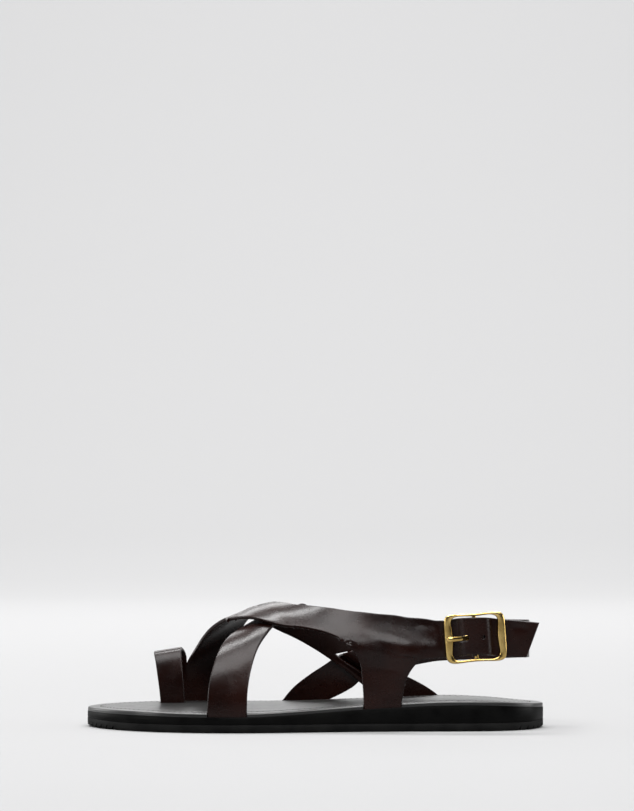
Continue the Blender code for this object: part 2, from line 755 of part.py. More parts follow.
def build_insole():
    insole = sole_layer("insole", (
        (0.2 * MM, insole_under_z),
        (0.2 * MM, lambda x, y: footbed_z(x, y) - EDGE_BEVEL),
        (0.2 * MM + EDGE_BEVEL, footbed_z),
    ), 6)
    slots = join_cutters("insole slots", pocket_cutters(-EDGE_CLEAR, lambda x, side: 0.0))
    cut(insole, slots)
    finish(insole, (0.030, 0.029, 0.028), 0.35)


def band_point(row, across):
    """Point of the upper band's middle surface in a row of the BAND table."""
    front_along, front_around, rear_along, rear_around, level = row
    along = front_along + (rear_along - front_along) * across
    around = front_around + (rear_around - front_around) * across
    return root_drop(along, around, level_lift(level, UPPER_WALL), UPPER_WALL)


def root_drop(along, around, lift, wall):
    """Point on the form, or in a pocket in the sole, where the strap lies on level 0."""
    return lifted(along, around, lift if abs(around) <= 1 else wall / 2, wall)


def buckle_centre():
    """Centre of the buckle in its own middle plane."""
    x = BUCKLE_CENTRE_ALONG * SOLE_LENGTH
    return np.array([x, lateral_heel_y() - STRAP_WALL - UPPER_WALL - 2 * GAP
                     - BUCKLE_THICKNESS / 2, BUCKLE_CENTRE_UP * INSTEP_HEIGHT])


def heel_round():
    """Centre, radius of the foot form's round at the heel, at strap height."""
    x = HEEL_CENTRE_ALONG * SOLE_LENGTH
    low = edge_y(-1, x) + edge_inset(STRAP_WALL)
    high = edge_y(1, x) - edge_inset(STRAP_WALL)
    return np.array([x, (low + high) / 2]), (high - low) / 2 * HEEL_TUCK


def lateral_heel_y():
    centre, radius = heel_round()
    return centre[1] - radius


def bar_y():
    """Place across of the centre bar, sunk into the back of the frame's long sides."""
    return buckle_centre()[1] + BUCKLE_THICKNESS / 2 + BAR_RADIUS - BAR_SINK


def over_bar_rise():
    """How far the buckled end rises over the folded strap on the centre bar."""
    fold_outside = bar_y() - BAR_RADIUS - GAP - SKIVED_WALL
    under_frame = lateral_heel_y() - STRAP_WALL - GAP
    return under_frame - (fold_outside - GAP)


def buckled_point(row, across):
    """Point of the band's end at the buckle, in a row of the BUCKLED_END table."""
    low_along, high_along, low_up, high_up, rise = row
    under = lateral_heel_y() - STRAP_WALL - GAP - UPPER_WALL / 2
    u = (low_along + (high_along - low_along) * across) * BUCKLE_LENGTH
    v = (low_up + (high_up - low_up) * across) * BUCKLE_HEIGHT
    x, z = turned(u, v)
    return np.array([x, under - rise * over_bar_rise(), z])


def band_rows():
    """Rows of points of the upper band, lower or front edge first."""
    ends = [row[1:] for row in BUCKLED_END]
    shares = np.linspace(0, 1, BAND_COLUMNS + 1)
    rows = []
    for k in range(BAND_STEPS + 1):
        values = strap_row(BAND, (len(BAND) - 1) * k / BAND_STEPS)
        rows.append([band_point(values, s) for s in shares])
    before = [band_point(strap_row(BAND, len(BAND) - 2), s) for s in shares]
    coarse = [before, rows[-1]] + [[buckled_point(e, s) for s in shares] for e in ends]
    coarse = [np.concatenate(r) for r in coarse]
    for k in range(1, BUCKLED_STEPS + 1):
        t = 1 + (len(coarse) - 2) * k / BUCKLED_STEPS
        rows.append(list(spline(coarse, t).reshape(-1, 3)))
    return rows


def notch_row():
    """Number of the band row that passes through the notch."""
    notch = next(i for i, row in enumerate(BAND) if row[0] == "notch")
    return round(notch * BAND_STEPS / (len(BAND) - 1))


def loop_point(turn, across):
    """Point of the toe loop; turn runs from 0 at the medial root to 1 at the near foot."""
    edges = spline([row[2:] for row in TOE_LOOP], turn_row(turn))
    x = (edges[0] + (edges[1] - edges[0]) * across) * SOLE_LENGTH
    half = TOE_LOOP_WIDTH / 2
    base = footbed_z(x) - POCKET_DEPTH
    height = TOE_LOOP_HEIGHT + POCKET_DEPTH - TOE_LOOP_TILT * (0.5 - across)
    angle = turn * math.pi
    across_share = abs(math.cos(angle)) ** (2 / TOE_LOOP_SQUARENESS)
    up_share = math.sin(angle) ** (2 / TOE_LOOP_SQUARENESS)
    if math.cos(angle) > 0:
        half += edge_y(1, x) - edge_y(1, LOOP_ROOT_ALONG * SOLE_LENGTH)
    y = loop_centre_y() + math.copysign(half * across_share, math.cos(angle))
    return np.array([x, y, base + height * up_share])


def turn_row(turn):
    places = [row[1] for row in TOE_LOOP]
    return float(np.interp(turn, places, range(len(places))))


def build_upper():
    """Toe loop, band, quarter with its leg and buckled end, as one leather wall."""
    sheet = Sheet()
    rows = band_rows()
    numbers = [sheet.add_points(row, UPPER_WALL) for row in rows]
    sheet.add_grid(numbers)
    add_toe_loop(sheet, rows, numbers, notch_row())
    add_leg(sheet, rows, numbers)
    upper = sheet.solid("upper")
    cut(upper, build_hole_cutter())
    finish(upper, STRAP_COLOUR, 0.35)


def add_toe_loop(sheet, rows, numbers, notch):
    """Hoop whose rear edge is the band's front edge up to the notch."""
    columns = LOOP_COLUMNS
    shared = [numbers[i][0] for i in range(notch + 1)]
    heights = [rows[i][0][2] for i in range(notch + 1)]
    turns = []
    for height in heights:
        low, high = 0.0, 0.45
        for _ in range(40):
            middle = (low + high) / 2
            if loop_point(middle, 1.0)[2] < height:
                low = middle
            else:
                high = middle
        turns.append(low)
    turns[0] = 0.0
    loop_rows = []
    for i, turn in enumerate(turns):
        edge = rows[i][0]
        shift = edge - loop_point(turn, 1.0)
        points = [loop_point(turn, c / columns) + shift * (c / columns) ** 2 for c in range(columns)]
        loop_rows.append(sheet.add_points(points, UPPER_WALL) + [shared[i]])
    shift = rows[notch][0] - loop_point(turns[-1], 1.0)
    last = turns[-1]
    for k in range(1, LOOP_STEPS + 1):
        turn = last + (1 - last) * k / LOOP_STEPS
        fade = max(0.0, 1 - (turn - last) / 0.15)
        points = [loop_point(turn, c / columns) + shift * (c / columns) ** 2 * fade
                  for c in range(columns + 1)]
        loop_rows.append(sheet.add_points(points, UPPER_WALL))
    sheet.add_grid([row[::-1] for row in loop_rows][::-1])


def add_leg(sheet, rows, numbers):
    """Leg from the lower edge of the quarter to the lateral pocket."""
    chosen = []
    for i in range(len(rows)):
        share = rows[i][0][0] / SOLE_LENGTH
        on_outside = rows[i][0][1] < 0
        if on_outside and LEG_FROM_ALONG - 1e-3 <= share <= LEG_TO_ALONG + 1e-3:
            chosen.append(i)
    top = [numbers[i][0] for i in chosen]
    starts = [rows[i][0][0] for i in chosen]
    spread = (np.array(starts) - starts[0]) / (starts[-1] - starts[0])
    grid = [top]
    first = ("quarter", starts[0] / SOLE_LENGTH, named(BAND, "quarter")[2],
             starts[-1] / SOLE_LENGTH, named(BAND, "ankle")[2])
    table = (first,) + LEG
    for k in range(1, LEG_STEPS + 1):
        values = strap_row(table, (len(table) - 1) * k / LEG_STEPS)
        down = k / LEG_STEPS
        fade = max(0.0, 1 - 2.4 * down) ** 2
        row = []
        for j, share in enumerate(spread):
            along = values[0] + (values[2] - values[0]) * share
            around = values[1] + (values[3] - values[1]) * share
            lift = level_lift(LEG_LEVEL * max(0.0, 1 - 1.33 * down), UPPER_WALL)
            point = root_drop(along, around, lift, UPPER_WALL)
            straight = rows[chosen[0]][0] + (rows[chosen[-1]][0] - rows[chosen[0]][0]) * share
            point = point + (rows[chosen[j]][0] - straight) * fade * 0.6
            row.append(point)
        grid.append(sheet.add_points(row, UPPER_WALL))
    sheet.add_grid([row[::-1] for row in grid[::-1]])


def turned(u, v):
    """Buckle coordinates (along, up) to world (x, z)."""
    centre = buckle_centre()
    c = math.cos(BUCKLE_TURN)
    s = math.sin(BUCKLE_TURN)
    return centre[0] + u * c - v * s, centre[2] + u * s + v * c


def turned_point(u, y, v):
    x, z = turned(u, v)
    return np.array([x, y, z])


def prong_path():
    """Middle line of the prong in (along, across): tip, shaft, then round the bar."""
    bar = bar_y()
    front = buckle_centre()[1] - BUCKLE_THICKNESS / 2 - GAP - PRONG_THICKNESS / 2
    ring = BAR_RADIUS + GAP + PRONG_THICKNESS * 0.25
    path = [(share * BUCKLE_LENGTH, front + sunk) for name, share, sunk in PRONG_SHAFT]
    for step in range(9):
        angle = math.radians(200 - 38 * step)
        path.append((ring * math.cos(angle), bar + ring * math.sin(angle)))
    return path


def build_prong():
    """Flat brass pin swept from its tip on the front bar round the centre bar."""
    path = prong_path()
    rings = []
    vertices = []
    count = len(path)
    for i, (u, y) in enumerate(path):
        before = np.array(path[max(i - 1, 0)])
        after = np.array(path[min(i + 1, count - 1)])
        tangent = (after - before) / np.linalg.norm(after - before)
        normal = np.array([-tangent[1], tangent[0]])
        on_ring = i >= len(PRONG_SHAFT)
        thick = PRONG_THICKNESS * (0.5 if on_ring else 1.0) / 2
        wide = PRONG_WIDTH / 2 * (0.72 if i == 0 else 1.0)
        if i == 0:
            thick *= 0.6
        ring = []
        for k in range(8):
            angle = math.pi * (2 * k + 1) / 8
            across = math.copysign(min(1.0, abs(math.cos(angle)) * 1.15), math.cos(angle))
            up = math.copysign(min(1.0, abs(math.sin(angle)) * 1.15), math.sin(angle))
            place = np.array([u, y]) + normal * thick * across
            x, z = turned(place[0], wide * up)
            ring.append(len(vertices))
            vertices.append((x, place[1], z))
        rings.append(ring)
    faces = [tuple(rings[0]), tuple(rings[-1])]
    for a, b in zip(rings, rings[1:]):
        faces += [(a[k], a[(k + 1) % 8], b[(k + 1) % 8], b[k]) for k in range(8)]
    prong = mesh_object("buckle_prong", vertices, faces)
    finish(prong, BRASS_COLOUR, 0.2, 1.0)


def window_loop(half_length, half_height, waist, side_bulge, power, count):
    """Closed loop of (u, v), spaced evenly: a soft rectangle with drawn-in sides."""
    dense = []
    for k in range(720):
        angle = 2 * math.pi * k / 720
        c = math.cos(angle)
        s = math.sin(angle)
        u = half_length * math.copysign(abs(c) ** (2 / power), c)
        v = half_height * math.copysign(abs(s) ** (2 / power), s)
        v_new = v * (1 - waist * math.cos(math.pi * u / (2 * half_length)) ** 2)
        u_new = u * (1 - side_bulge * math.cos(math.pi * v / (2 * half_height)) ** 2)
        dense.append((u_new, v_new))
    dense = np.array(dense + dense[:1])
    lengths = np.concatenate([[0], np.cumsum(np.linalg.norm(np.diff(dense, axis=0), axis=1))])
    marks = np.linspace(0, lengths[-1], count, endpoint=False)
    return [(float(np.interp(m, lengths, dense[:, 0])), float(np.interp(m, lengths, dense[:, 1])))
            for m in marks]


def build_buckle_frame():
    """Brass frame with drawn-in long sides, bevelled towards its window, and its bar."""
    count = 56
    half_length = BUCKLE_LENGTH / 2
    half_height = BUCKLE_HEIGHT / 2
    waist = BUCKLE_WAIST / half_height
    outer = window_loop(half_length, half_height, waist, 0.0, 7, count)
    rim = window_loop(half_length - BUCKLE_EDGE, half_height - BUCKLE_EDGE, waist, 0.0, 7, count)
    crest = window_loop(half_length - BUCKLE_SIDE_BAND * 0.6, half_height - BUCKLE_TOP_BAND * 0.6,
                        waist, 0.02, 6, count)
    inner = window_loop(half_length - BUCKLE_SIDE_BAND, half_height - BUCKLE_TOP_BAND,
                        waist, 0.045, 6, count)
    middle = buckle_centre()[1]
    back = middle + BUCKLE_THICKNESS / 2
    front = middle - BUCKLE_THICKNESS / 2
    profile = (
        (rim, back),
        (outer, back - BUCKLE_EDGE),
        (outer, front + BUCKLE_EDGE),
        (rim, front),
        (crest, front + BUCKLE_EDGE / 5),
        (inner, front + BUCKLE_WINDOW_BEVEL),
        (inner, back),
    )
    vertices = []
    loops = []
    for loop, y in profile:
        first = len(vertices)
        for u, v in loop:
            x, z = turned(u, v)
            vertices.append((x, y, z))
        loops.append(list(range(first, first + count)))
    faces = []
    for i in range(len(loops)):
        a = loops[i]
        b = loops[(i + 1) % len(loops)]
        faces += [(a[k], a[(k + 1) % count], b[(k + 1) % count], b[k]) for k in range(count)]
    frame = mesh_object("buckle_frame", vertices, faces)
    reach = half_height - BUCKLE_WAIST - BUCKLE_TOP_BAND / 2
    vertices = []
    faces = []
    sides = 12
    for v in (-reach, reach):
        for k in range(sides):
            angle = 2 * math.pi * k / sides
            x, z = turned(BAR_RADIUS * math.cos(angle), v)
            vertices.append((x, bar_y() + BAR_RADIUS * math.sin(angle), z))
    faces = [tuple(range(sides)), tuple(range(sides, 2 * sides))]
    faces += [(k, (k + 1) % sides, sides + (k + 1) % sides, sides + k) for k in range(sides)]
    bar = mesh_object("centre bar", vertices, faces)
    join(frame, bar)
    finish(frame, BRASS_COLOUR, 0.2, 1.0)


def build_hole_cutter():
    """Prong slot and punched holes in the buckled end."""
    pieces = []
    centre = buckle_centre()
    outside = centre[1] - BUCKLE_LENGTH / 3
    inside = centre[1] + BUCKLE_LENGTH / 3
    slot_from = PRONG_HOLE_FROM * BUCKLE_LENGTH
    slot_to = PRONG_HOLE_TO * BUCKLE_LENGTH
    tall = PRONG_WIDTH / 2 + 2 * GAP
    pieces.append(cross_prism(slot_from, slot_to, tall, outside, inside))
    pieces.append(round_cutter((slot_from + slot_to) / 2 + HOLE_PITCH, outside, inside))
    return join_cutters("strap holes", pieces)


def cross_prism(u_from, u_to, half_height, y_from, y_to):
    """Slot with cut corners, through the strap."""
    chamfer = half_height * 0.6
    loop = [(u_from + chamfer, -half_height), (u_to - chamfer, -half_height),
            (u_to, -half_height + chamfer), (u_to, half_height - chamfer),
            (u_to - chamfer, half_height), (u_from + chamfer, half_height),
            (u_from, half_height - chamfer), (u_from, -half_height + chamfer)]
    return across_prism(loop, y_from, y_to)


def round_cutter(u, y_from, y_to):
    loop = [(u + HOLE_RADIUS * math.cos(k * math.pi / 6), HOLE_RADIUS * math.sin(k * math.pi / 6))
            for k in range(12)]
    return across_prism(loop, y_from, y_to)


def across_prism(loop, y_from, y_to):
    vertices = []
    for y in (y_from, y_to):
        for u, v in loop:
            x, z = turned(u, v)
            vertices.append((x, y, z))
    count = len(loop)
    faces = [tuple(range(count)), tuple(range(count, 2 * count))]
    faces += [(k, (k + 1) % count, count + (k + 1) % count, count + k) for k in range(count)]
    return mesh_object("across cutter", vertices, faces)


def spans(*marks):
    """Shares across a strap that include every mark, COLUMNS_PER_SPAN to each span."""
    shares = [marks[0]]
    for low, high in zip(marks, marks[1:]):
        shares += [low + (high - low) * c / COLUMNS_PER_SPAN for c in range(1, COLUMNS_PER_SPAN + 1)]
    return shares


def build_cross_strap():
    """Strap under the upper's crossing, with the lengthwise slit for the heel strap."""
    sheet = Sheet()
    shares = spans(0.0, SLIT_FROM_EDGE, SLIT_TO_EDGE, 1.0)
    rows = []
    for k in range(CROSS_STEPS + 1):
        t = (len(CROSS) - 1) * k / CROSS_STEPS
        values = strap_row(CROSS, t)
        in_slit = max(0.0, min(1.0, (t - SLIT_ROWS[0]) / (SLIT_ROWS[1] - SLIT_ROWS[0])))
        row = []
        for s in shares:
            along = values[0] + (values[3] - values[0]) * s
            around = values[1] + (values[4] - values[1]) * s
            level = values[2] + (values[5] - values[2]) * s
            lift = level_lift(level, STRAP_WALL) + lip_lean(s) * math.sin(math.pi * in_slit)
            row.append(root_drop(along, around, lift, STRAP_WALL))
        rows.append(sheet.add_points(row, STRAP_WALL))
    first = round(SLIT_ROWS[0] * CROSS_STEPS / (len(CROSS) - 1))
    last = round(SLIT_ROWS[1] * CROSS_STEPS / (len(CROSS) - 1))
    sheet.add_grid(rows, skip=lambda i, j: first <= i < last
                   and COLUMNS_PER_SPAN <= j < 2 * COLUMNS_PER_SPAN)
    cross = sheet.solid("cross_strap")
    finish(cross, STRAP_COLOUR, 0.35)


def lip_lean(share):
    """The slit's front lip leans in and its rear lip leans out, most at the slit itself."""
    front = max(0.0, 1 - abs(share - SLIT_FROM_EDGE) / (SLIT_FROM_EDGE / 2))
    rear = max(0.0, 1 - abs(share - SLIT_TO_EDGE) / ((1 - SLIT_TO_EDGE) / 2))
    return SLIT_LIP_LEAN * (rear - front)


def heel_wrap_point(turn, across):
    """Point of the heel strap round the heel; turn 0 is medial, 1 is lateral."""
    centre, radius = heel_round()
    values = by_along([(r[0], r[1], r[2], r[3]) for r in HEEL_EDGE_UP], turn)
    z = (values[1] + (values[0] - values[1]) * across) * INSTEP_HEIGHT
    middle = radius + STRAP_WALL / 2
    angle = turn * math.pi
    return np.array([centre[0] + middle * math.sin(angle), centre[1] + middle * math.cos(angle), z])


def build_heel_strap():
    """Strap from the medial pocket, through the slit, round the heel to the centre bar."""
    sheet = Sheet()
    shares = spans(0.0, FORK_FROM, FORK_TO, 1.0)
    rows = []
    walls = []
    for k in range(HEEL_FRONT_STEPS + 1):
        values = strap_row(HEEL_FRONT, (len(HEEL_FRONT) - 1) * k / HEEL_FRONT_STEPS)
        row = []
        for s in shares:
            along = values[0] + (values[2] - values[0]) * s
            around = values[1] + (values[3] - values[1]) * s
            row.append(root_drop(along, around, level_lift(values[4], STRAP_WALL), STRAP_WALL))
        rows.append(row)
        walls.append(STRAP_WALL)
    joint = len(rows) - 1
    for k in range(1, HEEL_ROUND_STEPS + 1):
        turn = HEEL_TURN_END * k / HEEL_ROUND_STEPS
        rows.append([heel_wrap_point(turn, s) for s in shares])
        walls.append(STRAP_WALL)
    ease_rows(rows, joint)
    fork = len(rows) - 1
    last = rows[-1]
    bar_x, _, bar_z = buckle_centre()
    ring = BAR_RADIUS + GAP + SKIVED_WALL / 2
    most = BUCKLE_HEIGHT / 2 - BUCKLE_WAIST - BUCKLE_TOP_BAND - 2 * GAP
    ups = [max(-most, min(most, p[2] - bar_z)) for p in last]
    straight = last[0][0] - bar_x
    for share, wall in ((0.6, STRAP_WALL * 0.8), (0.3, SKIVED_WALL)):
        y = last[0][1] + (bar_y() + ring - last[0][1]) * (1 - share)
        rows.append([turned_point(straight * share, y, up) for up in ups])
        walls.append(wall)
    for step in range(FOLD_STEPS):
        angle = math.radians(90 + FOLD_ANGLE * step / (FOLD_STEPS - 1))
        y = bar_y() + ring * math.sin(angle)
        rows.append([turned_point(ring * math.cos(angle), y, up) for up in ups])
        walls.append(SKIVED_WALL)
    numbers = [sheet.add_points(row, wall) for row, wall in zip(rows, walls)]
    sheet.add_grid(numbers, skip=lambda i, j: i > fork
                   and COLUMNS_PER_SPAN <= j < 2 * COLUMNS_PER_SPAN)
    strap = sheet.solid("heel_strap")
    finish(strap, STRAP_COLOUR, 0.35)


def ease_rows(rows, joint):
    """Soften the change between the form's wall and the heel's round."""
    for _ in range(12):
        for i in range(joint - 4, joint + 5):
            for j in range(len(rows[i])):
                middle = (rows[i - 1][j] + rows[i + 1][j]) / 2
                rows[i][j] = rows[i][j] * 0.5 + middle * 0.5


def main():
    for piece in list(bpy.data.objects):
        bpy.data.objects.remove(piece)
    build_outsole()
    build_midsole()
    build_insole()
    build_upper()
    build_cross_strap()
    build_heel_strap()
    build_buckle_frame()
    build_prong()


main()
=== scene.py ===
"""Looks of the flat leather sandal: every strap, sole layer and the buckle at fine detail.

The toe points to -X, the heel to +X, the outer (lateral) side is -Y, up is +Z. Units are
metres. The straps lie on a foot form: a row of half-oval sections over the footbed. A
place on the form is given by `along`, a share of the sole's length from its middle, and
by `around`, which runs from -1 at the lateral edge over 0 at the instep ridge to 1 at the
medial edge. Past 1 it goes straight down into the strap's pocket in the sole.
"""

import math

import bmesh
import bpy
import numpy as np
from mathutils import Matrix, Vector


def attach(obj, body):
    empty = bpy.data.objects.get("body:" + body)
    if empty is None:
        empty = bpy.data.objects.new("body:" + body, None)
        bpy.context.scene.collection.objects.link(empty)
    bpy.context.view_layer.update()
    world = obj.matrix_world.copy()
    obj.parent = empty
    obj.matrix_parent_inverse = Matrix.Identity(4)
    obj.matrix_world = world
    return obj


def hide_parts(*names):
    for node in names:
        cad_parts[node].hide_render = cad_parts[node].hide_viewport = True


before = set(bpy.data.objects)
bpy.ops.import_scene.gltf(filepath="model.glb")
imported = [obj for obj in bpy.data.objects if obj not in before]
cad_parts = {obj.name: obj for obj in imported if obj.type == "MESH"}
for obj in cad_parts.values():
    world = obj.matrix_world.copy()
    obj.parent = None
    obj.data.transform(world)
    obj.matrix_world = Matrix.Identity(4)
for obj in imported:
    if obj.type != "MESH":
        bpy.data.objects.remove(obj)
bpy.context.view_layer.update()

MM = 0.001

# Driving sizes of the sole
SOLE_LENGTH = 264 * MM
BALL_WIDTH = 94 * MM
FOOTBED_HEIGHT = 16.8 * MM
OUTSOLE_THICKNESS = 4.6 * MM
LAYER_GAP = 0.05 * MM
INSOLE_THICKNESS = 2.2 * MM
TOE_SPRING = 0.9 * MM
EDGE_BEVEL = 0.9 * MM
POCKET_LIP = 1.0 * MM
POCKET_DEPTH = 5.6 * MM
POCKET_AROUND = 1.6
GAP = 0.3 * MM
EDGE_CLEAR = 2.0 * MM
TOE_SPRING_FROM = -0.40
TOE_SPRING_RUN = 0.10
HEEL_SPRING_FROM = 0.455
HEEL_SPRING_RUN = 0.045
HEEL_SPRING_SHARE = 0.9

# Driving sizes of the straps
INSTEP_HEIGHT = 56.0 * MM
UPPER_WALL = 2.2 * MM
STRAP_WALL = 2.0 * MM
SKIVED_WALL = 1.0 * MM
TOE_LOOP_WIDTH = 23.4 * MM
TOE_LOOP_HEIGHT = 29.5 * MM
SLIT_FROM_EDGE = 0.32
SLIT_TO_EDGE = 0.69
SLIT_LIP_LEAN = 1.3 * MM

# Driving sizes of the tread
NOTCH_PITCH = 5.2 * MM
NOTCH_WIDTH = 2.6 * MM
NOTCH_HEIGHT = 2.8 * MM
NOTCH_REACH = 3.0 * MM
GROOVE_PITCH = 9.0 * MM
GROOVE_WIDTH = 1.8 * MM
GROOVE_DEPTH = 0.9 * MM
GROOVE_MARGIN = 9.0 * MM
TOE_NOTCHES_TO = -0.43
HEEL_NOTCHES_FROM = 0.44
GROOVE_ZONES = ((-0.36, -0.10), (0.22, 0.42))

# Driving sizes of the buckle
BUCKLE_LENGTH = 35.0 * MM
BUCKLE_HEIGHT = 29.0 * MM
BUCKLE_THICKNESS = 2.8 * MM
BUCKLE_SIDE_BAND = 3.7 * MM
BUCKLE_TOP_BAND = 1.6 * MM
BUCKLE_WAIST = 0.8 * MM
FRAME_SQUARENESS = 7
WINDOW_SQUARENESS = 6
WINDOW_BULGE = 0.08
FRONT_ROUNDING = 0.62
BACK_ROUNDING = 0.8
BUCKLE_TURN = math.radians(4.2)
BAR_RADIUS = 1.2 * MM
BAR_SINK = 0.7 * MM
PRONG_WIDTH = 2.8 * MM
PRONG_THICKNESS = 1.8 * MM
PRONG_SHAFT = (
    # place, share of the buckle's length from its middle, depth behind the resting level
    ("tip", -0.470, 0.1 * MM),
    ("on the side bar", -0.425, 0.0),
    ("behind the side bar", -0.370, 0.2 * MM),
    ("sinking", -0.245, 1.5 * MM),
    ("at the hole", -0.160, 3.3 * MM),
)
PRONG_ROUNDING = 0.7
PRONG_TURN_FROM = 200
PRONG_TURN_STEP = -38
PRONG_TURNS = 9
PRONG_HOLE_FROM = -0.290
PRONG_HOLE_TO = -0.105
HOLE_PITCH = 11.3 * MM
HOLE_RADIUS = 1.4 * MM
HOLE_SIDES = 12
SLOT_CORNER = 0.6

# Mesh fineness
OUTLINE_STEPS = 24
SOLE_STATIONS = 220
TREAD_COLUMNS = 4
MIDSOLE_COLUMNS = 6
INSOLE_COLUMNS = 24
BEVEL_STEPS = 6
STRIP_POINTS = 17
BAND_STEPS = 190
BUCKLED_STEPS = 100
BAND_COLUMNS = 18
LOOP_STEPS = 80
LOOP_COLUMNS = 14
LEG_STEPS = 40
CROSS_STEPS = 204
HEEL_FRONT_STEPS = 130
HEEL_ROUND_STEPS = 90
FOLD_STEPS = 25
TURN_STEPS = 10
HALVINGS = 40
EASE_PASSES = 96
EASE_REACH = 4
RIM_STEPS = 4
FRAME_POINTS = 240
FRAME_SIDES = 20
BAR_SIDES = 32
PRONG_STEPS = 96
PRONG_SIDES = 20
THREAD_STEPS = 6
THREAD_SIDES = 8
COLUMNS_PER_SPAN = 6

# Fine detail of the leather and the footbed
EDGE_ROUNDING = 0.55 * MM
STITCH_INSET = 7.5 * MM
STITCH_GROOVE = 0.55 * MM
GROOVE_SINK = 0.45 * MM
STITCH_PITCH = 3.4 * MM
THREAD_RADIUS = 0.33 * MM
THREAD_SHARE = 0.72
SEAM_OUT = 0.35 * MM
SEAM_SOFT = 0.1 * MM
INSOLE_INSET = 0.2 * MM
GROOVE_RINGS = (2.4, 4.2, 5.6, 6.3, 6.7, 7.0, 7.25, 7.5, 7.75, 8.0, 8.3, 8.7, 9.4)

RUBBER_SHINE = 0.04

# Leathers: name, darkest and lightest colour, roughness from and to, grain, shine
LEATHERS = (
    ("strap leather", (0.0036, 0.0009, 0.0006), (0.0085, 0.0020, 0.0011), (0.22, 0.31), 1.0, 0.18),
    # Next row: the leather's edges are painted lighter than the strap, a painted highlight along
    # every edge.
    ("cut edge, painted highlight", (0.026, 0.018, 0.015), (0.046, 0.034, 0.029), (0.35, 0.5), 0.8, 0.3),
    ("strap lining", (0.006, 0.004, 0.0035), (0.012, 0.008, 0.0065), (0.36, 0.5), 1.2, 0.2),
    ("footbed leather", (0.006, 0.006, 0.006), (0.011, 0.011, 0.011), (0.28, 0.36), 0.35, 0.45),
)
# Rubbers: name, darkest and lightest colour, roughness from and to, fineness of the lines
RUBBERS = (
    ("sole side", (0.0012, 0.0012, 0.0012), (0.0028, 0.0028, 0.0027), (0.34, 0.46), 900),
    ("tread", (0.004, 0.004, 0.004), (0.008, 0.008, 0.0078), (0.5, 0.65), 700),
)
BRASS_DARK = (0.40, 0.27, 0.085)
BRASS_LIGHT = (0.62, 0.45, 0.17)
BRASS_ROUGHNESS = (0.16, 0.27)
THREAD_DARK = (0.012, 0.011, 0.010)
THREAD_LIGHT = (0.045, 0.042, 0.038)
THREAD_ROUGHNESS = 0.7

# Studio: camera, floor, world and lights (name, place, target, size, power)
CAMERA_LENS = 177.6
CAMERA_PLACE = (0.0012, -2.316, 0.186)
FLOOR_COLOUR = (0.228, 0.228, 0.2295)
FLOOR_ROUGHNESS = 0.9
FLOOR_FRONT = -3.2
FLOOR_REAR = 1.6
FLOOR_HALF_WIDTH = 4.0
SWEEP_RADIUS = 1.2
SWEEP_STEPS = 12
BACKDROP_HEIGHT = 4.0
DOME_DARK = (0.012, 0.012, 0.012)
DOME_BRIGHT = (1.0, 1.0, 1.0)
DOME_STOPS = (0.50, 0.74)
DOME_STRENGTH = 0.9
DOME_UP = (0.0, 0.35, 0.45)
DOME_MIDDLE = 0.5
LIGHTS = (
    ("overhead", (-0.14, -0.52, 1.2), (0.0, -0.03, 0.05), (1.2, 0.75), 26),
    ("front high", (0.26, -1.08, 0.82), (0.03, -0.03, 0.05), (0.4, 0.4), 7),
    ("left front strip", (-1.2, -0.7, 0.3), (-0.02, -0.03, 0.05), (0.35, 0.5), 4),
    ("left side", (-1.3, 0.5, 0.35), (0.0, 0.0, 0.05), (0.9, 0.6), 9),
    ("right side", (1.3, 0.0, 0.3), (0.0, 0.0, 0.05), (0.7, 0.5), 8),
    ("rear", (0.0, 1.5, 0.85), (0.0, 0.0, 0.02), (1.6, 0.5), 8),
    ("backdrop", (0.0, 0.9, 2.6), (0.0, 2.6, 0.6), (3.0, 0.8), 240),
)

# Plan outline of the sole, from the toe along the lateral side to the heel and back along the
# medial side: share of the length from the middle, share of the ball width (negative is lateral)
OUTLINE = (
    ("toe tip", -0.500, 0.085),
    ("little toe", -0.483, -0.064),
    ("little toe", -0.443, -0.218),
    ("little toe", -0.379, -0.362),
    ("lateral ball", -0.303, -0.457),
    ("lateral ball", -0.208, -0.500),
    ("lateral ball", -0.106, -0.489),
    ("lateral waist", 0.000, -0.441),
    ("lateral waist", 0.114, -0.394),
    ("lateral waist", 0.227, -0.367),
    ("lateral heel", 0.333, -0.354),
    ("lateral heel", 0.409, -0.319),
    ("lateral heel", 0.466, -0.218),
    ("lateral heel", 0.494, -0.085),
    ("heel tip", 0.500, 0.000),
    ("medial heel", 0.494, 0.085),
    ("medial heel", 0.466, 0.207),
    ("medial heel", 0.409, 0.303),
    ("medial heel", 0.333, 0.335),
    ("medial waist", 0.227, 0.330),
    ("medial waist", 0.114, 0.335),
    ("medial waist", 0.000, 0.378),
    ("medial ball", -0.106, 0.447),
    ("medial ball", -0.208, 0.496),
    ("medial ball", -0.303, 0.500),
    ("big toe", -0.379, 0.463),
    ("big toe", -0.443, 0.372),
    ("big toe", -0.483, 0.234),
)

# Footbed: along, height of its middle, crown towards the middle and rise of the lateral
# side, all as shares of FOOTBED_HEIGHT
FOOTBED = (
    ("toe tip", -0.500, 0.675, 0.000, 0.000),
    ("toes", -0.417, 0.720, 0.035, 0.000),
    ("ball", -0.227, 0.760, 0.075, -0.020),
    ("ball", -0.140, 0.762, 0.070, -0.020),
    ("waist", -0.030, 0.800, 0.040, -0.005),
    ("waist", 0.076, 0.880, 0.020, 0.010),
    ("waist", 0.189, 0.953, 0.010, 0.020),
    ("heel", 0.295, 1.000, 0.000, 0.025),
    ("heel", 0.379, 0.965, 0.000, 0.040),
    ("heel", 0.455, 0.890, 0.000, 0.040),
    ("heel tip", 0.500, 0.850, 0.000, 0.000),
)

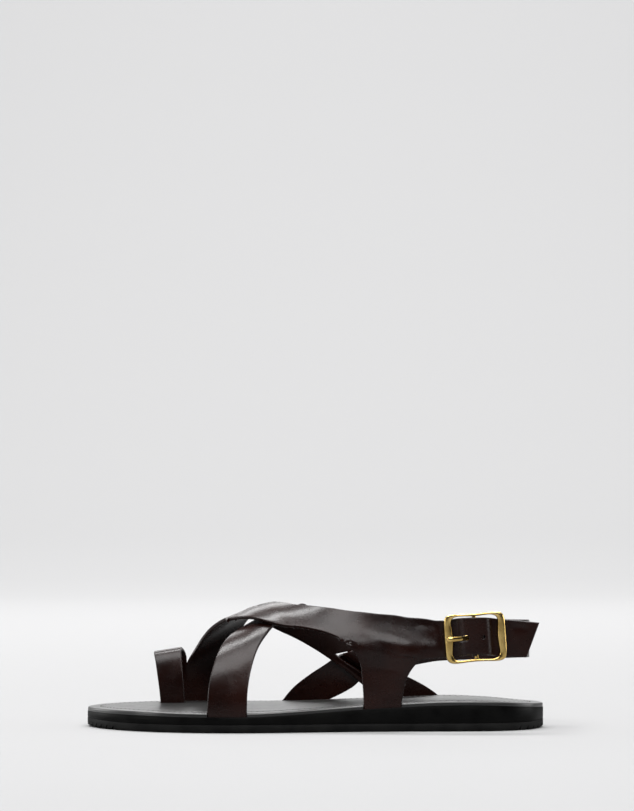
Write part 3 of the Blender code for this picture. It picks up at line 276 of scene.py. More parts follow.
# Foot form: along, height of the ridge above the footbed as a share of INSTEP_HEIGHT,
# the ridge's place across as a share of BALL_WIDTH, squareness of the medial section
FORM = (
    ("toes", -0.360, 0.38, 0.085, 3.0),
    ("toes", -0.284, 0.60, 0.067, 2.7),
    ("ball", -0.227, 0.755, 0.058, 2.5),
    ("instep", -0.189, 0.836, 0.050, 2.35),
    ("instep", -0.159, 0.892, 0.043, 2.3),
    ("instep", -0.133, 0.945, 0.040, 2.25),
    ("instep", -0.098, 0.985, 0.035, 2.2),
    ("instep", -0.045, 1.005, 0.027, 2.2),
    ("instep", 0.000, 1.040, 0.021, 2.2),
    ("ankle", 0.038, 1.100, 0.015, 2.2),
    ("ankle", 0.076, 1.185, 0.010, 2.2),
    ("ankle", 0.133, 1.390, 0.000, 2.2),
    ("ankle", 0.189, 1.650, -0.004, 2.2),
    ("ankle", 0.265, 1.940, -0.009, 2.2),
    ("heel", 0.350, 2.170, -0.010, 2.2),
    ("heel", 0.500, 2.210, -0.010, 2.2),
)
LATERAL_SQUARENESS = 2.15
FOOTBED_READ = 0.9

# Upper band from its medial root over the instep to the buckle. Level 0 lies on the form,
# level 1 lies over another strap.
BAND = (
    # place, front_along, front_around, rear_along, rear_around, level
    ("pocket", -0.2860, 1.600, -0.2120, 1.600, 0.00),
    ("medial root", -0.2856, 1.000, -0.2120, 1.000, 0.00),
    ("medial wall", -0.2850, 0.790, -0.2110, 0.900, 0.00),
    ("notch", -0.2850, 0.640, -0.2080, 0.800, 0.05),
    ("instep", -0.2650, 0.467, -0.1880, 0.625, 0.30),
    ("instep", -0.2350, 0.244, -0.1580, 0.370, 0.70),
    ("instep", -0.2110, 0.110, -0.1380, 0.250, 0.90),
    ("crossing", -0.1820, -0.030, -0.1140, 0.140, 1.00),
    ("crossing", -0.1520, -0.170, -0.0880, 0.030, 1.00),
    ("crossing", -0.1170, -0.310, -0.0620, -0.080, 1.00),
    ("crossing", -0.0800, -0.400, -0.0390, -0.165, 1.00),
    ("lateral", -0.0320, -0.450, -0.0070, -0.228, 0.85),
    ("lateral", 0.0130, -0.525, 0.0340, -0.330, 0.65),
    ("quarter", 0.0510, -0.613, 0.0680, -0.416, 0.45),
    ("quarter", 0.0830, -0.690, 0.1020, -0.496, 0.32),
    ("quarter", 0.1170, -0.765, 0.1360, -0.570, 0.25),
    ("quarter", 0.1550, -0.812, 0.1700, -0.632, 0.25),
    ("quarter", 0.1930, -0.842, 0.2010, -0.680, 0.35),
    ("ankle", 0.2290, -0.862, 0.2330, -0.712, 0.50),
    ("ankle", 0.2560, -0.868, 0.2580, -0.736, 0.68),
)

# Buckled end of the band, in the buckle's own directions from its centre: lower and upper
# edge along as shares of BUCKLE_LENGTH, lower and upper edge up as shares of
# BUCKLE_HEIGHT, and its rise from under the frame (0) to over the centre bar (1)
BUCKLED_END = (
    ("before the frame", -0.580, -0.536, -0.353, 0.379, 0.00),
    ("under the front bar", -0.443, -0.443, -0.362, 0.378, -0.03),
    ("rising", -0.286, -0.286, -0.352, 0.398, 0.17),
    ("rising", -0.160, -0.160, -0.335, 0.405, 0.80),
    ("over the centre bar", 0.000, 0.000, -0.325, 0.400, 1.00),
    ("falling", 0.160, 0.160, -0.350, 0.383, 0.80),
    ("falling", 0.286, 0.286, -0.388, 0.358, 0.17),
    ("under the rear bar", 0.446, 0.446, -0.423, 0.317, -0.03),
    ("tail", 0.674, 0.718, -0.454, 0.268, 0.02),
    ("cut end", 0.811, 1.063, -0.469, 0.196, 0.08),
)

# Leg of the quarter down to the lateral pocket: front and rear edge, along and around
LEG = (
    ("quarter", 0.0810, -0.713, 0.2170, -0.876),
    ("leg", 0.0970, -0.797, 0.2050, -0.899),
    ("leg", 0.1010, -0.872, 0.1970, -0.925),
    ("leg", 0.1035, -0.935, 0.1920, -0.958),
    ("lateral root", 0.1050, -1.000, 0.1870, -1.000),
    ("pocket", 0.1050, -1.600, 0.1870, -1.600),
)
LEG_LEVEL = 0.30
LEG_SINKS = 1.33
LEG_FOLLOWS = 0.6
LEG_STRAIGHTENS = 2.4
LEG_FROM_ALONG = 0.051
LEG_TO_ALONG = 0.232

# Toe loop: edges along, front and rear, by turn round the hoop from the medial root (0)
# over the crest (0.5) to the near foot (1)
TOE_LOOP = (
    ("medial root", 0.00, -0.341, -0.2856),
    ("medial wall", 0.30, -0.349, -0.2860),
    ("crest", 0.50, -0.357, -0.2970),
    ("near wall", 0.70, -0.353, -0.2950),
    ("near foot", 1.00, -0.340, -0.2880),
)
TOE_LOOP_TILT = 2.4 * MM
TOE_LOOP_SQUARENESS = 2.6
LOOP_ROOT_ALONG = -0.32
LOOP_JOIN_BEFORE = 0.45
LOOP_JOIN_FADE = 0.15
LOOP_REAR_MARGIN = 2 * MM

# Cross strap from the lateral ball under the upper to the medial arch
CROSS = (
    # place, front_along, front_around, front_level, rear_along, rear_around, rear_level
    ("pocket", -0.2315, -1.600, 0.00, -0.1465, -1.600, 0.00),
    ("lateral root", -0.2315, -1.000, 0.00, -0.1465, -1.000, 0.00),
    ("lateral wall", -0.2275, -0.797, 0.00, -0.1450, -0.875, 0.00),
    ("lateral wall", -0.2165, -0.590, -0.20, -0.1380, -0.730, 0.00),
    ("instep", -0.1980, -0.365, -0.78, -0.1235, -0.565, 0.00),
    ("instep", -0.1680, -0.150, -1.70, -0.1020, -0.430, -0.05),
    ("crossing", -0.1350, 0.000, -2.05, -0.0780, -0.300, -0.10),
    ("crossing", -0.1140, 0.180, -2.15, -0.0520, -0.150, -0.15),
    ("crossing", -0.0990, 0.340, -2.10, -0.0280, 0.030, -0.15),
    ("medial", -0.0800, 0.430, -1.90, -0.0070, 0.270, -0.10),
    ("medial", -0.0540, 0.520, -1.30, 0.0200, 0.500, 0.00),
    ("medial", -0.0110, 0.650, -0.45, 0.0600, 0.655, 0.00),
    ("medial", 0.0370, 0.784, 0.00, 0.1080, 0.790, 0.00),
    ("medial", 0.0700, 0.862, 0.00, 0.1400, 0.858, 0.00),
    ("medial", 0.1000, 0.935, 0.00, 0.1760, 0.910, 0.00),
    ("medial", 0.1200, 0.968, 0.00, 0.2150, 0.948, 0.00),
    ("medial root", 0.1360, 1.000, 0.00, 0.2727, 1.000, 0.00),
    ("pocket", 0.1360, 1.600, 0.00, 0.2727, 1.600, 0.00),
)
SLIT_ROWS = (11.67, 14.40)

# Heel strap from the medial pocket through the slit to the start of the heel's round
HEEL_FRONT = (
    # place, upper_along, upper_around, lower_along, lower_around, level
    ("pocket", -0.0727, 1.600, 0.0333, 1.600, 0.00),
    ("medial root", -0.0727, 1.000, 0.0333, 1.000, 0.00),
    ("rising", -0.0470, 0.925, 0.0510, 0.985, 0.22),
    ("rising", -0.0120, 0.855, 0.0700, 0.967, 0.70),
    ("outside the cross strap", 0.0170, 0.812, 0.0850, 0.950, 1.02),
    ("outside the cross strap", 0.0360, 0.785, 0.0980, 0.929, 1.12),
    ("front lip", 0.0490, 0.769, 0.1135, 0.914, 1.08),
    ("in the slit", 0.0590, 0.760, 0.1230, 0.908, 0.00),
    ("rear lip", 0.0680, 0.752, 0.1320, 0.904, -1.16),
    ("inside the cross strap", 0.0980, 0.744, 0.1580, 0.902, -1.26),
    ("inside the cross strap", 0.1400, 0.752, 0.1930, 0.903, -0.95),
    ("inside the cross strap", 0.1800, 0.762, 0.2200, 0.902, -0.75),
    ("medial heel", 0.2500, 0.780, 0.2650, 0.902, -0.20),
    ("medial heel", 0.3100, 0.792, 0.3120, 0.906, 0.00),
)
HEEL_CENTRE_ALONG = 0.358
HEEL_TUCK = 0.97
HEEL_TURN_END = 0.93
FORK_FROM = 0.40
FORK_TO = 0.60
FOLD_ANGLE = 192
HEEL_EDGE_UP = (
    # turn round the heel, lower and upper edge above the ground, shares of INSTEP_HEIGHT
    ("medial side", 0.0, 0.665, 1.055),
    ("back", 0.5, 0.720, 1.110),
    ("lateral side", 1.0, 0.775, 1.150),
)

BUCKLE_CENTRE_ALONG = 0.3466
BUCKLE_CENTRE_UP = 0.959


def spline(points, t):
    """Catmull-Rom value of a list of equal tuples at t, counted in rows."""
    rows = np.asarray(points, dtype=float)
    last = len(rows) - 1
    i = min(max(int(math.floor(t)), 0), last - 1)
    f = t - i
    before = rows[i - 1] if i > 0 else 2 * rows[0] - rows[1]
    after = rows[i + 2] if i + 2 <= last else 2 * rows[last] - rows[last - 1]
    a = rows[i]
    b = rows[i + 1]
    return 0.5 * (2 * a + (b - before) * f + (2 * before - 5 * a + 4 * b - after) * f ** 2
                  + (3 * a - before - 3 * b + after) * f ** 3)


def strap_row(table, t):
    """Values of a strap's table at row t; rows marked pocket are reached in straight lines."""
    first = min(max(int(math.floor(t)), 0), len(table) - 2)
    if "pocket" in (table[first][0], table[first + 1][0]):
        f = t - first
        return np.array(table[first][1:]) * (1 - f) + np.array(table[first + 1][1:]) * f
    skipped = 1 if table[0][0] == "pocket" else 0
    return spline([row[1:] for row in table if row[0] != "pocket"], t - skipped)


def between(low, high, share):
    """Value or values at a share of the way from low to high."""
    return low + (high - low) * share


def squared(value, power):
    """Value to a power, with its own sign."""
    return math.copysign(abs(value) ** power, value)


def bridge(a, b):
    """Faces between two closed rings of point numbers."""
    count = len(a)
    return [(a[k], a[(k + 1) % count], b[(k + 1) % count], b[k]) for k in range(count)]


def by_along(table, along):
    """Smooth values of a table's columns at a place along the shoe."""
    places = np.array([row[1] for row in table])
    values = np.array([row[2:] for row in table])
    x = min(max(along, places[0]), places[-1])
    slopes = np.gradient(values, places, axis=0)
    i = min(max(int(np.searchsorted(places, x)) - 1, 0), len(places) - 2)
    step = places[i + 1] - places[i]
    t = (x - places[i]) / step
    return ((2 * t ** 3 - 3 * t ** 2 + 1) * values[i] + (t ** 3 - 2 * t ** 2 + t) * step * slopes[i]
            + (3 * t ** 2 - 2 * t ** 3) * values[i + 1] + (t ** 3 - t ** 2) * step * slopes[i + 1])


def sole_edges():
    """Lateral and medial half of the plan outline as dense curves, toe to heel."""
    points = np.array([row[1:] for row in OUTLINE])
    count = len(points)
    dense = []
    for i in range(count):
        four = [points[(i + k) % count] for k in (-1, 0, 1, 2)]
        for step in range(OUTLINE_STEPS):
            dense.append(spline(four, 1 + step / OUTLINE_STEPS))
    curve = np.array(dense)
    for axis, size in ((0, SOLE_LENGTH), (1, BALL_WIDTH)):
        low = curve[:, axis].min()
        curve[:, axis] = ((curve[:, axis] - low) / np.ptp(curve[:, axis]) - 0.5) * size
    toe = int(curve[:, 0].argmin())
    heel = int(curve[:, 0].argmax())
    lateral = curve[toe:heel + 1]
    medial = np.vstack([curve[heel:], curve[:toe + 1]])[::-1]
    return lateral, medial


LATERAL_EDGE, MEDIAL_EDGE = sole_edges()


def edge_y(side, x):
    """Place across of the sole's edge; side is -1 for lateral and 1 for medial."""
    edge = LATERAL_EDGE if side < 0 else MEDIAL_EDGE
    return float(np.interp(x, edge[:, 0], edge[:, 1]))


def footbed_z(x, y=None):
    """Height of the footbed at a place; without y, at the middle of the shoe."""
    height, crown, rise = by_along(FOOTBED, x / SOLE_LENGTH)
    if y is None:
        return height * FOOTBED_HEIGHT
    low = edge_y(-1, x)
    high = edge_y(1, x)
    v = 0.0
    if high - low > MM:
        v = max(-1.0, min(1.0, (2 * y - low - high) / (high - low)))
    return (height - crown * v * v - rise * v) * FOOTBED_HEIGHT


def ground_z(x):
    """Height of the sole's underside: flat, with a slight spring at toe and heel tip."""
    toe = max(0.0, TOE_SPRING_FROM - x / SOLE_LENGTH) / TOE_SPRING_RUN
    heel = max(0.0, x / SOLE_LENGTH - HEEL_SPRING_FROM) / HEEL_SPRING_RUN
    return TOE_SPRING * (toe ** 2 + HEEL_SPRING_SHARE * heel ** 2)


def tread_top_z(x):
    return ground_z(x) + OUTSOLE_THICKNESS


def insole_under_z(x, y):
    return footbed_z(x, y) - INSOLE_THICKNESS


def edge_inset(wall):
    """Distance from the sole's edge to the inner face of a strap in its pocket."""
    return POCKET_LIP + GAP + wall


def form_point(along, around, wall=UPPER_WALL):
    """Point of the foot form in metres."""
    x = along * SOLE_LENGTH
    side = 1 if around > 0 else -1
    height, ridge, medial_square = by_along(FORM, along)
    square = medial_square if side > 0 else LATERAL_SQUARENESS
    ridge_y = ridge * BALL_WIDTH
    edge = edge_y(side, x)
    base = footbed_z(x, edge * FOOTBED_READ)
    half = abs(edge - ridge_y) - edge_inset(wall)
    if abs(around) > 1:
        down = POCKET_DEPTH * (abs(around) - 1) / (POCKET_AROUND - 1)
        return np.array([x, ridge_y + side * half, base - down])
    angle = (1 - abs(around)) * math.pi / 2
    across = math.cos(angle) ** (2 / square)
    up = math.sin(angle) ** (2 / square)
    return np.array([x, ridge_y + side * half * across, base + height * INSTEP_HEIGHT * up])


def lifted(along, around, lift, wall=UPPER_WALL):
    """Point at a distance outside the form."""
    point = form_point(along, around, wall)
    if abs(around) >= 1:
        side = 1 if around > 0 else -1
        return point + np.array([0, side * lift, 0])
    step = 0.002
    over = form_point(along, min(around + step, 0.9999), wall)
    under = form_point(along, max(around - step, -0.9999), wall)
    ahead = form_point(along + step, around, wall)
    behind = form_point(along - step, around, wall)
    normal = np.cross(over - under, ahead - behind)
    normal /= np.linalg.norm(normal)
    middle = np.array([point[0], 0, footbed_z(point[0])])
    if np.dot(normal, point - middle) < 0:
        normal = -normal
    return point + normal * lift


def level_lift(level, wall):
    """Distance of a strap's middle from the form at a level."""
    return wall / 2 + level * (STRAP_WALL + GAP)


class Sheet:
    """Middle surface of a strap: points with their own wall, and faces between them."""

    def __init__(self):
        self.points = []
        self.walls = []
        self.faces = []

    def add_points(self, points, wall):
        first = len(self.points)
        self.points.extend(np.asarray(p, dtype=float) for p in points)
        self.walls.extend([wall] * len(points))
        return list(range(first, first + len(points)))

    def add_grid(self, rows, skip=lambda row, column: False):
        """Faces between rows of point numbers."""
        for i in range(len(rows) - 1):
            for j in range(len(rows[i]) - 1):
                if not skip(i, j):
                    corners = (rows[i][j], rows[i + 1][j], rows[i + 1][j + 1], rows[i][j + 1])
                    if len(set(corners)) == 4:
                        self.faces.append(corners)

    def normals(self, points):
        total = np.zeros_like(points)
        faces = np.array(self.faces)
        corners = points[faces]
        normal = np.cross(corners[:, 2] - corners[:, 0], corners[:, 3] - corners[:, 1])
        for column in range(4):
            np.add.at(total, faces[:, column], normal)
        return total / np.maximum(np.linalg.norm(total, axis=1), 1e-12)[:, None]

    def rims(self, points, normals):
        """Open edges of the sheet, and at each the direction straight out of its rim."""
        seen = set()
        for face in self.faces:
            seen.update(zip(face, face[1:] + face[:1]))
        rims = [(a, b) for a, b in seen if (b, a) not in seen]
        outward = np.zeros_like(points)
        for a, b in sorted(rims):
            across = np.cross(points[b] - points[a], normals[a] + normals[b])
            across /= max(np.linalg.norm(across), 1e-12)
            outward[a] += across
            outward[b] += across
        length = np.linalg.norm(outward, axis=1)
        return sorted(rims), outward / np.maximum(length, 1e-12)[:, None]

    def leather(self, name, creases=()):
        """Strap with rounded cut edges: material 0 outside, 1 on the cut edges, painted lighter as a
        highlight, 2 inside.
        """
        points = np.array(self.points)
        normals = self.normals(points)
        points = points + normals * crease_offsets(points, normals, creases)[:, None]
        normals = self.normals(points)
        rims, outward = self.rims(points, normals)
        half = np.array(self.walls)[:, None] / 2
        on_rim = np.linalg.norm(outward, axis=1)[:, None] > 0.5
        rounding = np.minimum(EDGE_ROUNDING, half) * on_rim
        count = len(points)
        top = points + normals * half - outward * rounding
        under = points - normals * half - outward * rounding
        vertices = list(top) + list(under)
        faces = [tuple(face) for face in self.faces]
        faces += [tuple(i + count for i in reversed(face)) for face in self.faces]
        middles = points[np.array(self.faces)].mean(axis=1)
        facing = normals[np.array(self.faces)].mean(axis=1)
        away = middles - np.array([foot_middle(p) for p in middles])
        outside = (facing * away).sum(axis=1) > 0
        kinds = [0 if o else 2 for o in outside]
        kinds += [2 if o else 0 for o in outside]
        rim_points = sorted({i for rim in rims for i in rim})
        angles = [math.pi / 2 * k / RIM_STEPS for k in range(1, RIM_STEPS + 1)]
        profile = [(math.sin(angle), math.cos(angle), 1) for angle in angles]
        profile += [(x, z, -1) for x, z, _ in reversed(profile)]
        columns = {i: [i] for i in rim_points}
        for out, up, side in profile:
            for i in rim_points:
                r = rounding[i]
                reach = outward[i] * (r * out - r)
                lift = normals[i] * (half[i] - r + r * up) * side
                columns[i].append(len(vertices))
                vertices.append(points[i] + reach + lift)
        for i in rim_points:
            columns[i].append(i + count)
        for a, b in rims:
            for k in range(len(columns[a]) - 1):
                faces.append((columns[b][k], columns[a][k], columns[a][k + 1], columns[b][k + 1]))
                kinds.append(1)
        return mesh_piece(name, vertices, faces, kinds)


def foot_middle(point):
    """Point inside the foot nearest to a place on a strap."""
    if point[0] < named(TOE_LOOP, "crest")[3] * SOLE_LENGTH + LOOP_REAR_MARGIN:
        return np.array([point[0], loop_centre_y(), TOE_LOOP_HEIGHT])
    if point[0] > HEEL_CENTRE_ALONG * SOLE_LENGTH:
        centre, _ = heel_round()
        return np.array([centre[0], centre[1], point[2]])
    return np.array([point[0], 0, FOOTBED_HEIGHT * 2])


def crease_offsets(points, normals, creases):
    """Height of soft troughs (negative) and ridges at each point, seen from the lateral side."""
    offsets = np.zeros(len(points))
    outside = np.where(normals[:, 1] < 0, 1.0, -1.0)
    for crease in creases:
        _, side, x_from, z_from, x_to, z_to, width, height = crease
        start = np.array([x_from, z_from]) * MM
        run = np.array([x_to, z_to]) * MM - start
        length = np.linalg.norm(run)
        place = points[:, [0, 2]] - start
        t = place @ run / length ** 2
        off = place @ np.array([-run[1], run[0]]) / length
        fade = np.clip(1 - np.abs(t * 2 - 1) ** 3, 0, 1) * (np.abs(t - 0.5) < 0.5)
        near = np.sign(points[:, 1]) == side
        offsets += height * MM * np.exp(-(off / (width * MM)) ** 2) * fade * near * outside * -side
    return offsets


def show(name, data):
    """Object in the scene with a mesh, a light or a camera."""
    shown = bpy.data.objects.new(name, data)
    bpy.context.collection.objects.link(shown)
    return shown


def mesh_piece(name, vertices, faces, kinds=None):
    """Object from points and faces, with outward normals and smooth shading."""
    mesh = bpy.data.meshes.new(name)
    mesh.from_pydata([tuple(float(c) for c in v) for v in vertices], [], faces)
    if kinds:
        mesh.polygons.foreach_set("material_index", kinds)
    shape = bmesh.new()
    shape.from_mesh(mesh)
    bmesh.ops.delete(shape, geom=[v for v in shape.verts if not v.link_faces], context="VERTS")
    bmesh.ops.recalc_face_normals(shape, faces=shape.faces)
    if shape.calc_volume(signed=True) < 0:
        bmesh.ops.reverse_faces(shape, faces=shape.faces)
    shape.to_mesh(mesh)
    shape.free()
    mesh.shade_smooth()
    return show(name, mesh)


def carve(piece, cutter, sharp=40):
    """Cut a piece with a cutter for good, and remove the cutter."""
    modifier = piece.modifiers.new("cut", "BOOLEAN")
    modifier.operation = "DIFFERENCE"
    modifier.solver = "EXACT"
    modifier.object = cutter
    bpy.context.view_layer.update()
    shown = piece.evaluated_get(bpy.context.evaluated_depsgraph_get())
    mesh = bpy.data.meshes.new_from_object(shown)
    piece.modifiers.clear()
    piece.data = mesh
    bpy.data.objects.remove(cutter)
    mesh.shade_smooth()
    mesh.set_sharp_from_angle(angle=math.radians(sharp))


def dress(piece, node, slot, *materials):
    """Give a piece its materials, and let it stand for its CAD node."""
    piece.data.materials.clear()
    for material in materials:
        piece.data.materials.append(material)
    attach(piece, "root")
    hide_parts(node)
    return piece


def place_on(edge, share):
    """Point of a half outline at a share of its length from the toe."""
    travelled = np.concatenate([[0], np.cumsum(np.linalg.norm(np.diff(edge, axis=0), axis=1))])
    mark = share * travelled[-1]
    return np.array([np.interp(mark, travelled, edge[:, 0]), np.interp(mark, travelled, edge[:, 1])])


def outline_ring(inset):
    """Outline moved inwards: lateral points from toe to heel, then medial ones back."""
    shares = [k / SOLE_STATIONS for k in range(SOLE_STATIONS + 1)]
    ring = [place_on(LATERAL_EDGE, s) for s in shares]
    ring += [place_on(MEDIAL_EDGE, s) for s in shares[-2:0:-1]]
    count = len(ring)
    moved = []
    for i in range(count):
        tangent = ring[(i + 1) % count] - ring[i - 1]
        tangent /= np.linalg.norm(tangent)
        moved.append(ring[i] + inset * np.array([-tangent[1], tangent[0]]))
    return moved


def sole_layer(name, rings, columns):
    """Closed layer of the sole from its lowest ring (inset, height) to its highest."""
    vertices = []
    faces = []
    loops = []
    for inset, height in rings:
        ring = outline_ring(inset)
        first = len(vertices)
        vertices.extend((p[0], p[1], height(p[0], p[1])) for p in ring)
        loops.append(list(range(first, first + len(ring))))
    for low, high in zip(loops, loops[1:]):
        faces += bridge(low, high)
    for loop, (inset, height) in ((loops[0], rings[0]), (loops[-1], rings[-1])):
        count = len(loop)
        rows = [[loop[0]] * (columns + 1)]
        for k in range(1, SOLE_STATIONS):
            a = np.array(vertices[loop[k]][:2])
            b = np.array(vertices[loop[count - k]][:2])
            row = [loop[k]]
            for c in range(1, columns):
                p = a + (b - a) * c / columns
                row.append(len(vertices))
                vertices.append((p[0], p[1], height(p[0], p[1])))
            row.append(loop[count - k])
            rows.append(row)
        rows.append([loop[SOLE_STATIONS]] * (columns + 1))
        for upper, lower in zip(rows, rows[1:]):
            for c in range(columns):
                corners = [upper[c], lower[c], lower[c + 1], upper[c + 1]]
                face = []
                for corner in corners:
                    if corner not in face:
                        face.append(corner)
                faces.append(tuple(face))
    return mesh_piece(name, vertices, faces)


def tube(name, rings):
    """Piece through closed rings of points, with a cap at both ends."""
    count = len(rings[0])
    numbers = [range(i * count, (i + 1) * count) for i in range(len(rings))]
    faces = [tuple(numbers[0]), tuple(numbers[-1])]
    for a, b in zip(numbers, numbers[1:]):
        faces += bridge(a, b)
    return mesh_piece(name, [point for ring in rings for point in ring], faces)


def prism(name, polygon, low, high):
    """Upright prism over a polygon of (x, y)."""
    return tube(name, [[(x, y, z) for x, y in polygon] for z in (low, high)])


def edge_strip(side, x_from, x_to, outer, inner):
    """Polygon along the sole's edge between two insets."""
    xs = np.linspace(x_from, x_to, STRIP_POINTS)
    polygon = [(x, edge_y(side, x) - side * outer) for x in xs]
    polygon += [(x, edge_y(side, x) - side * inner) for x in xs[::-1]]
    return polygon


def named(table, place):
    """First row of a table with this place."""
    return next(row for row in table if row[0] == place)


def strap_roots():
    """Where straps enter the sole's edge: name, side, from and to along, wall."""
    leg = named(LEG, "lateral root")
    lateral = named(CROSS, "lateral root")
    medial = named(CROSS, "medial root")
    heel = named(HEEL_FRONT, "medial root")
    return (
        ("upper_medial", 1, TOE_LOOP[0][2], named(BAND, "medial root")[3], UPPER_WALL),
        ("upper_leg", -1, leg[1], leg[3], UPPER_WALL),
        ("cross_lateral", -1, lateral[1], lateral[4], STRAP_WALL),
        ("cross_medial", 1, medial[1], medial[4], STRAP_WALL),
        ("heel_medial", 1, heel[1], heel[3], STRAP_WALL),
    )


def join_cutters(name, pieces):
    """One mesh from several cutters that don't touch."""
    shape = bmesh.new()
    for piece in pieces:
        shape.from_mesh(piece.data)
        bpy.data.objects.remove(piece)
    mesh = bpy.data.meshes.new(name)
    shape.to_mesh(mesh)
    shape.free()
    return show(name, mesh)


def loop_centre_y():
    x = LOOP_ROOT_ALONG * SOLE_LENGTH
    return edge_y(1, x) - edge_inset(UPPER_WALL) + UPPER_WALL / 2 - TOE_LOOP_WIDTH / 2


def pocket_cutters(outer_inset, low_of):
    """Prisms for every strap root; low_of gives the floor at a place along."""
    pieces = []
    for name, side, start, end, wall in strap_roots():
        x_from = start * SOLE_LENGTH - GAP
        x_to = end * SOLE_LENGTH + GAP
        inner = edge_inset(wall) + GAP
        strip = edge_strip(side, x_from, x_to, outer_inset, inner)
        low = min(low_of(x_from, side), low_of(x_to, side))
        pieces.append(prism("pocket " + name, strip, low, 2 * FOOTBED_HEIGHT))
    near = loop_centre_y() - TOE_LOOP_WIDTH / 2
    half = UPPER_WALL / 2 + 2 * GAP
    x_from = TOE_LOOP[-1][2] * SOLE_LENGTH - 4 * GAP
    x_to = TOE_LOOP[-1][3] * SOLE_LENGTH + 2 * GAP
    slot = [(x_from, near - half), (x_to, near - half), (x_to, near + half), (x_from, near + half)]
    low = min(low_of(x_from, 0), low_of(x_to, 0))
    pieces.append(prism("slot toe loop", slot, low, 2 * FOOTBED_HEIGHT))
    return pieces


def root_floor(x, side):
    """Floor of a pocket by the sole's edge, or by its middle for side 0."""
    y = edge_y(side, x) * FOOTBED_READ if side else None
    return footbed_z(x, y) - POCKET_DEPTH - 2 * GAP


def notch_prism(x, y, inward, along):
    """Slanted notch in the tread's lower edge at one place of the outline."""
    start = np.array([x, y]) - inward * NOTCH_REACH
    end = np.array([x, y]) + inward * NOTCH_REACH
    low = ground_z(x) - MM
    corners = ((-0.5, low), (0.5, low), (0.9, ground_z(x) + NOTCH_HEIGHT))
    rings = []
    for place in (start, end):
        spots = [place + along * shift * NOTCH_WIDTH for shift, _ in corners]
        rings.append([(p[0], p[1], height) for p, (_, height) in zip(spots, corners)])
    return tube("notch", rings)


def build_tread_cutter():
    """Edge notches round toe and heel, and cross grooves under ball and heel."""
    ring = [p for p in LATERAL_EDGE] + [p for p in MEDIAL_EDGE[::-1]]
    length = sum(float(np.linalg.norm(b - a)) for a, b in zip(ring, ring[1:]))
    travelled = 0.0
    next_notch = 0.0
    pieces = []
    for i in range(len(ring)):
        p = ring[i]
        q = ring[(i + 1) % len(ring)]
        step = float(np.linalg.norm(q - p))
        if step < 1e-9:
            continue
        along = (q - p) / step
        share = p[0] / SOLE_LENGTH
        at_tip = share < TOE_NOTCHES_TO or share > HEEL_NOTCHES_FROM
        if at_tip and next_notch <= travelled < length - NOTCH_PITCH:
            inward = np.array([-along[1], along[0]])
            pieces.append(notch_prism(p[0], p[1], inward, along))
            next_notch = travelled + NOTCH_PITCH
        travelled += step
    for start, end in GROOVE_ZONES:
        x = start * SOLE_LENGTH
        while x < end * SOLE_LENGTH:
            low = edge_y(-1, x) + GROOVE_MARGIN
            high = edge_y(1, x) - GROOVE_MARGIN
            half = GROOVE_WIDTH / 2
            corners = [(x - half, low), (x + half, low), (x + half, high), (x - half, high)]
            pieces.append(prism("groove", corners, -MM, GROOVE_DEPTH))
            x += GROOVE_PITCH
    return join_cutters("tread cutter", pieces)


def band_point(row, across):
    """Point of the upper band's middle surface in a row of the BAND table."""
    along, around = between(row[:2], row[2:4], across)
    return root_drop(along, around, level_lift(row[4], UPPER_WALL), UPPER_WALL)


def root_drop(along, around, lift, wall):
    """Point on the form, or in a pocket in the sole, where the strap lies on level 0."""
    return lifted(along, around, lift if abs(around) <= 1 else wall / 2, wall)


def buckle_centre():
    """Centre of the buckle in its own middle plane."""
    x = BUCKLE_CENTRE_ALONG * SOLE_LENGTH
    return np.array([x, lateral_heel_y() - STRAP_WALL - UPPER_WALL - 2 * GAP
                     - BUCKLE_THICKNESS / 2, BUCKLE_CENTRE_UP * INSTEP_HEIGHT])


def heel_round():
    """Centre, radius of the foot form's round at the heel, at strap height."""
    x = HEEL_CENTRE_ALONG * SOLE_LENGTH
    low = edge_y(-1, x) + edge_inset(STRAP_WALL)
    high = edge_y(1, x) - edge_inset(STRAP_WALL)
    return np.array([x, (low + high) / 2]), (high - low) / 2 * HEEL_TUCK


def lateral_heel_y():
    centre, radius = heel_round()
    return centre[1] - radius


def bar_y():
    """Place across of the centre bar, sunk into the back of the frame's long sides."""
    return buckle_centre()[1] + BUCKLE_THICKNESS / 2 + BAR_RADIUS - BAR_SINK


def over_bar_rise():
    """How far the buckled end rises over the folded strap on the centre bar."""
    fold_outside = bar_y() - BAR_RADIUS - GAP - SKIVED_WALL
    under_frame = lateral_heel_y() - STRAP_WALL - GAP
    return under_frame - (fold_outside - GAP)


def buckled_point(row, across):
    """Point of the band's end at the buckle, in a row of the BUCKLED_END table."""
    low_along, high_along, low_up, high_up, rise = row
    under = lateral_heel_y() - STRAP_WALL - GAP - UPPER_WALL / 2
    u = between(low_along, high_along, across) * BUCKLE_LENGTH
    v = between(low_up, high_up, across) * BUCKLE_HEIGHT
    x, z = turned(u, v)
    return np.array([x, under - rise * over_bar_rise(), z])


def band_rows():
    """Rows of points of the upper band, lower or front edge first."""
    ends = [row[1:] for row in BUCKLED_END]
    shares = np.linspace(0, 1, BAND_COLUMNS + 1)
    rows = []
    for k in range(BAND_STEPS + 1):
        values = strap_row(BAND, (len(BAND) - 1) * k / BAND_STEPS)
        rows.append([band_point(values, s) for s in shares])
    before = [band_point(strap_row(BAND, len(BAND) - 2), s) for s in shares]
    coarse = [before, rows[-1]] + [[buckled_point(e, s) for s in shares] for e in ends]
    coarse = [np.concatenate(r) for r in coarse]
    for k in range(1, BUCKLED_STEPS + 1):
        t = 1 + (len(coarse) - 2) * k / BUCKLED_STEPS
        rows.append(list(spline(coarse, t).reshape(-1, 3)))
    return rows


def notch_row():
    """Number of the band row that passes through the notch."""
    notch = BAND.index(named(BAND, "notch"))
    return round(notch * BAND_STEPS / (len(BAND) - 1))


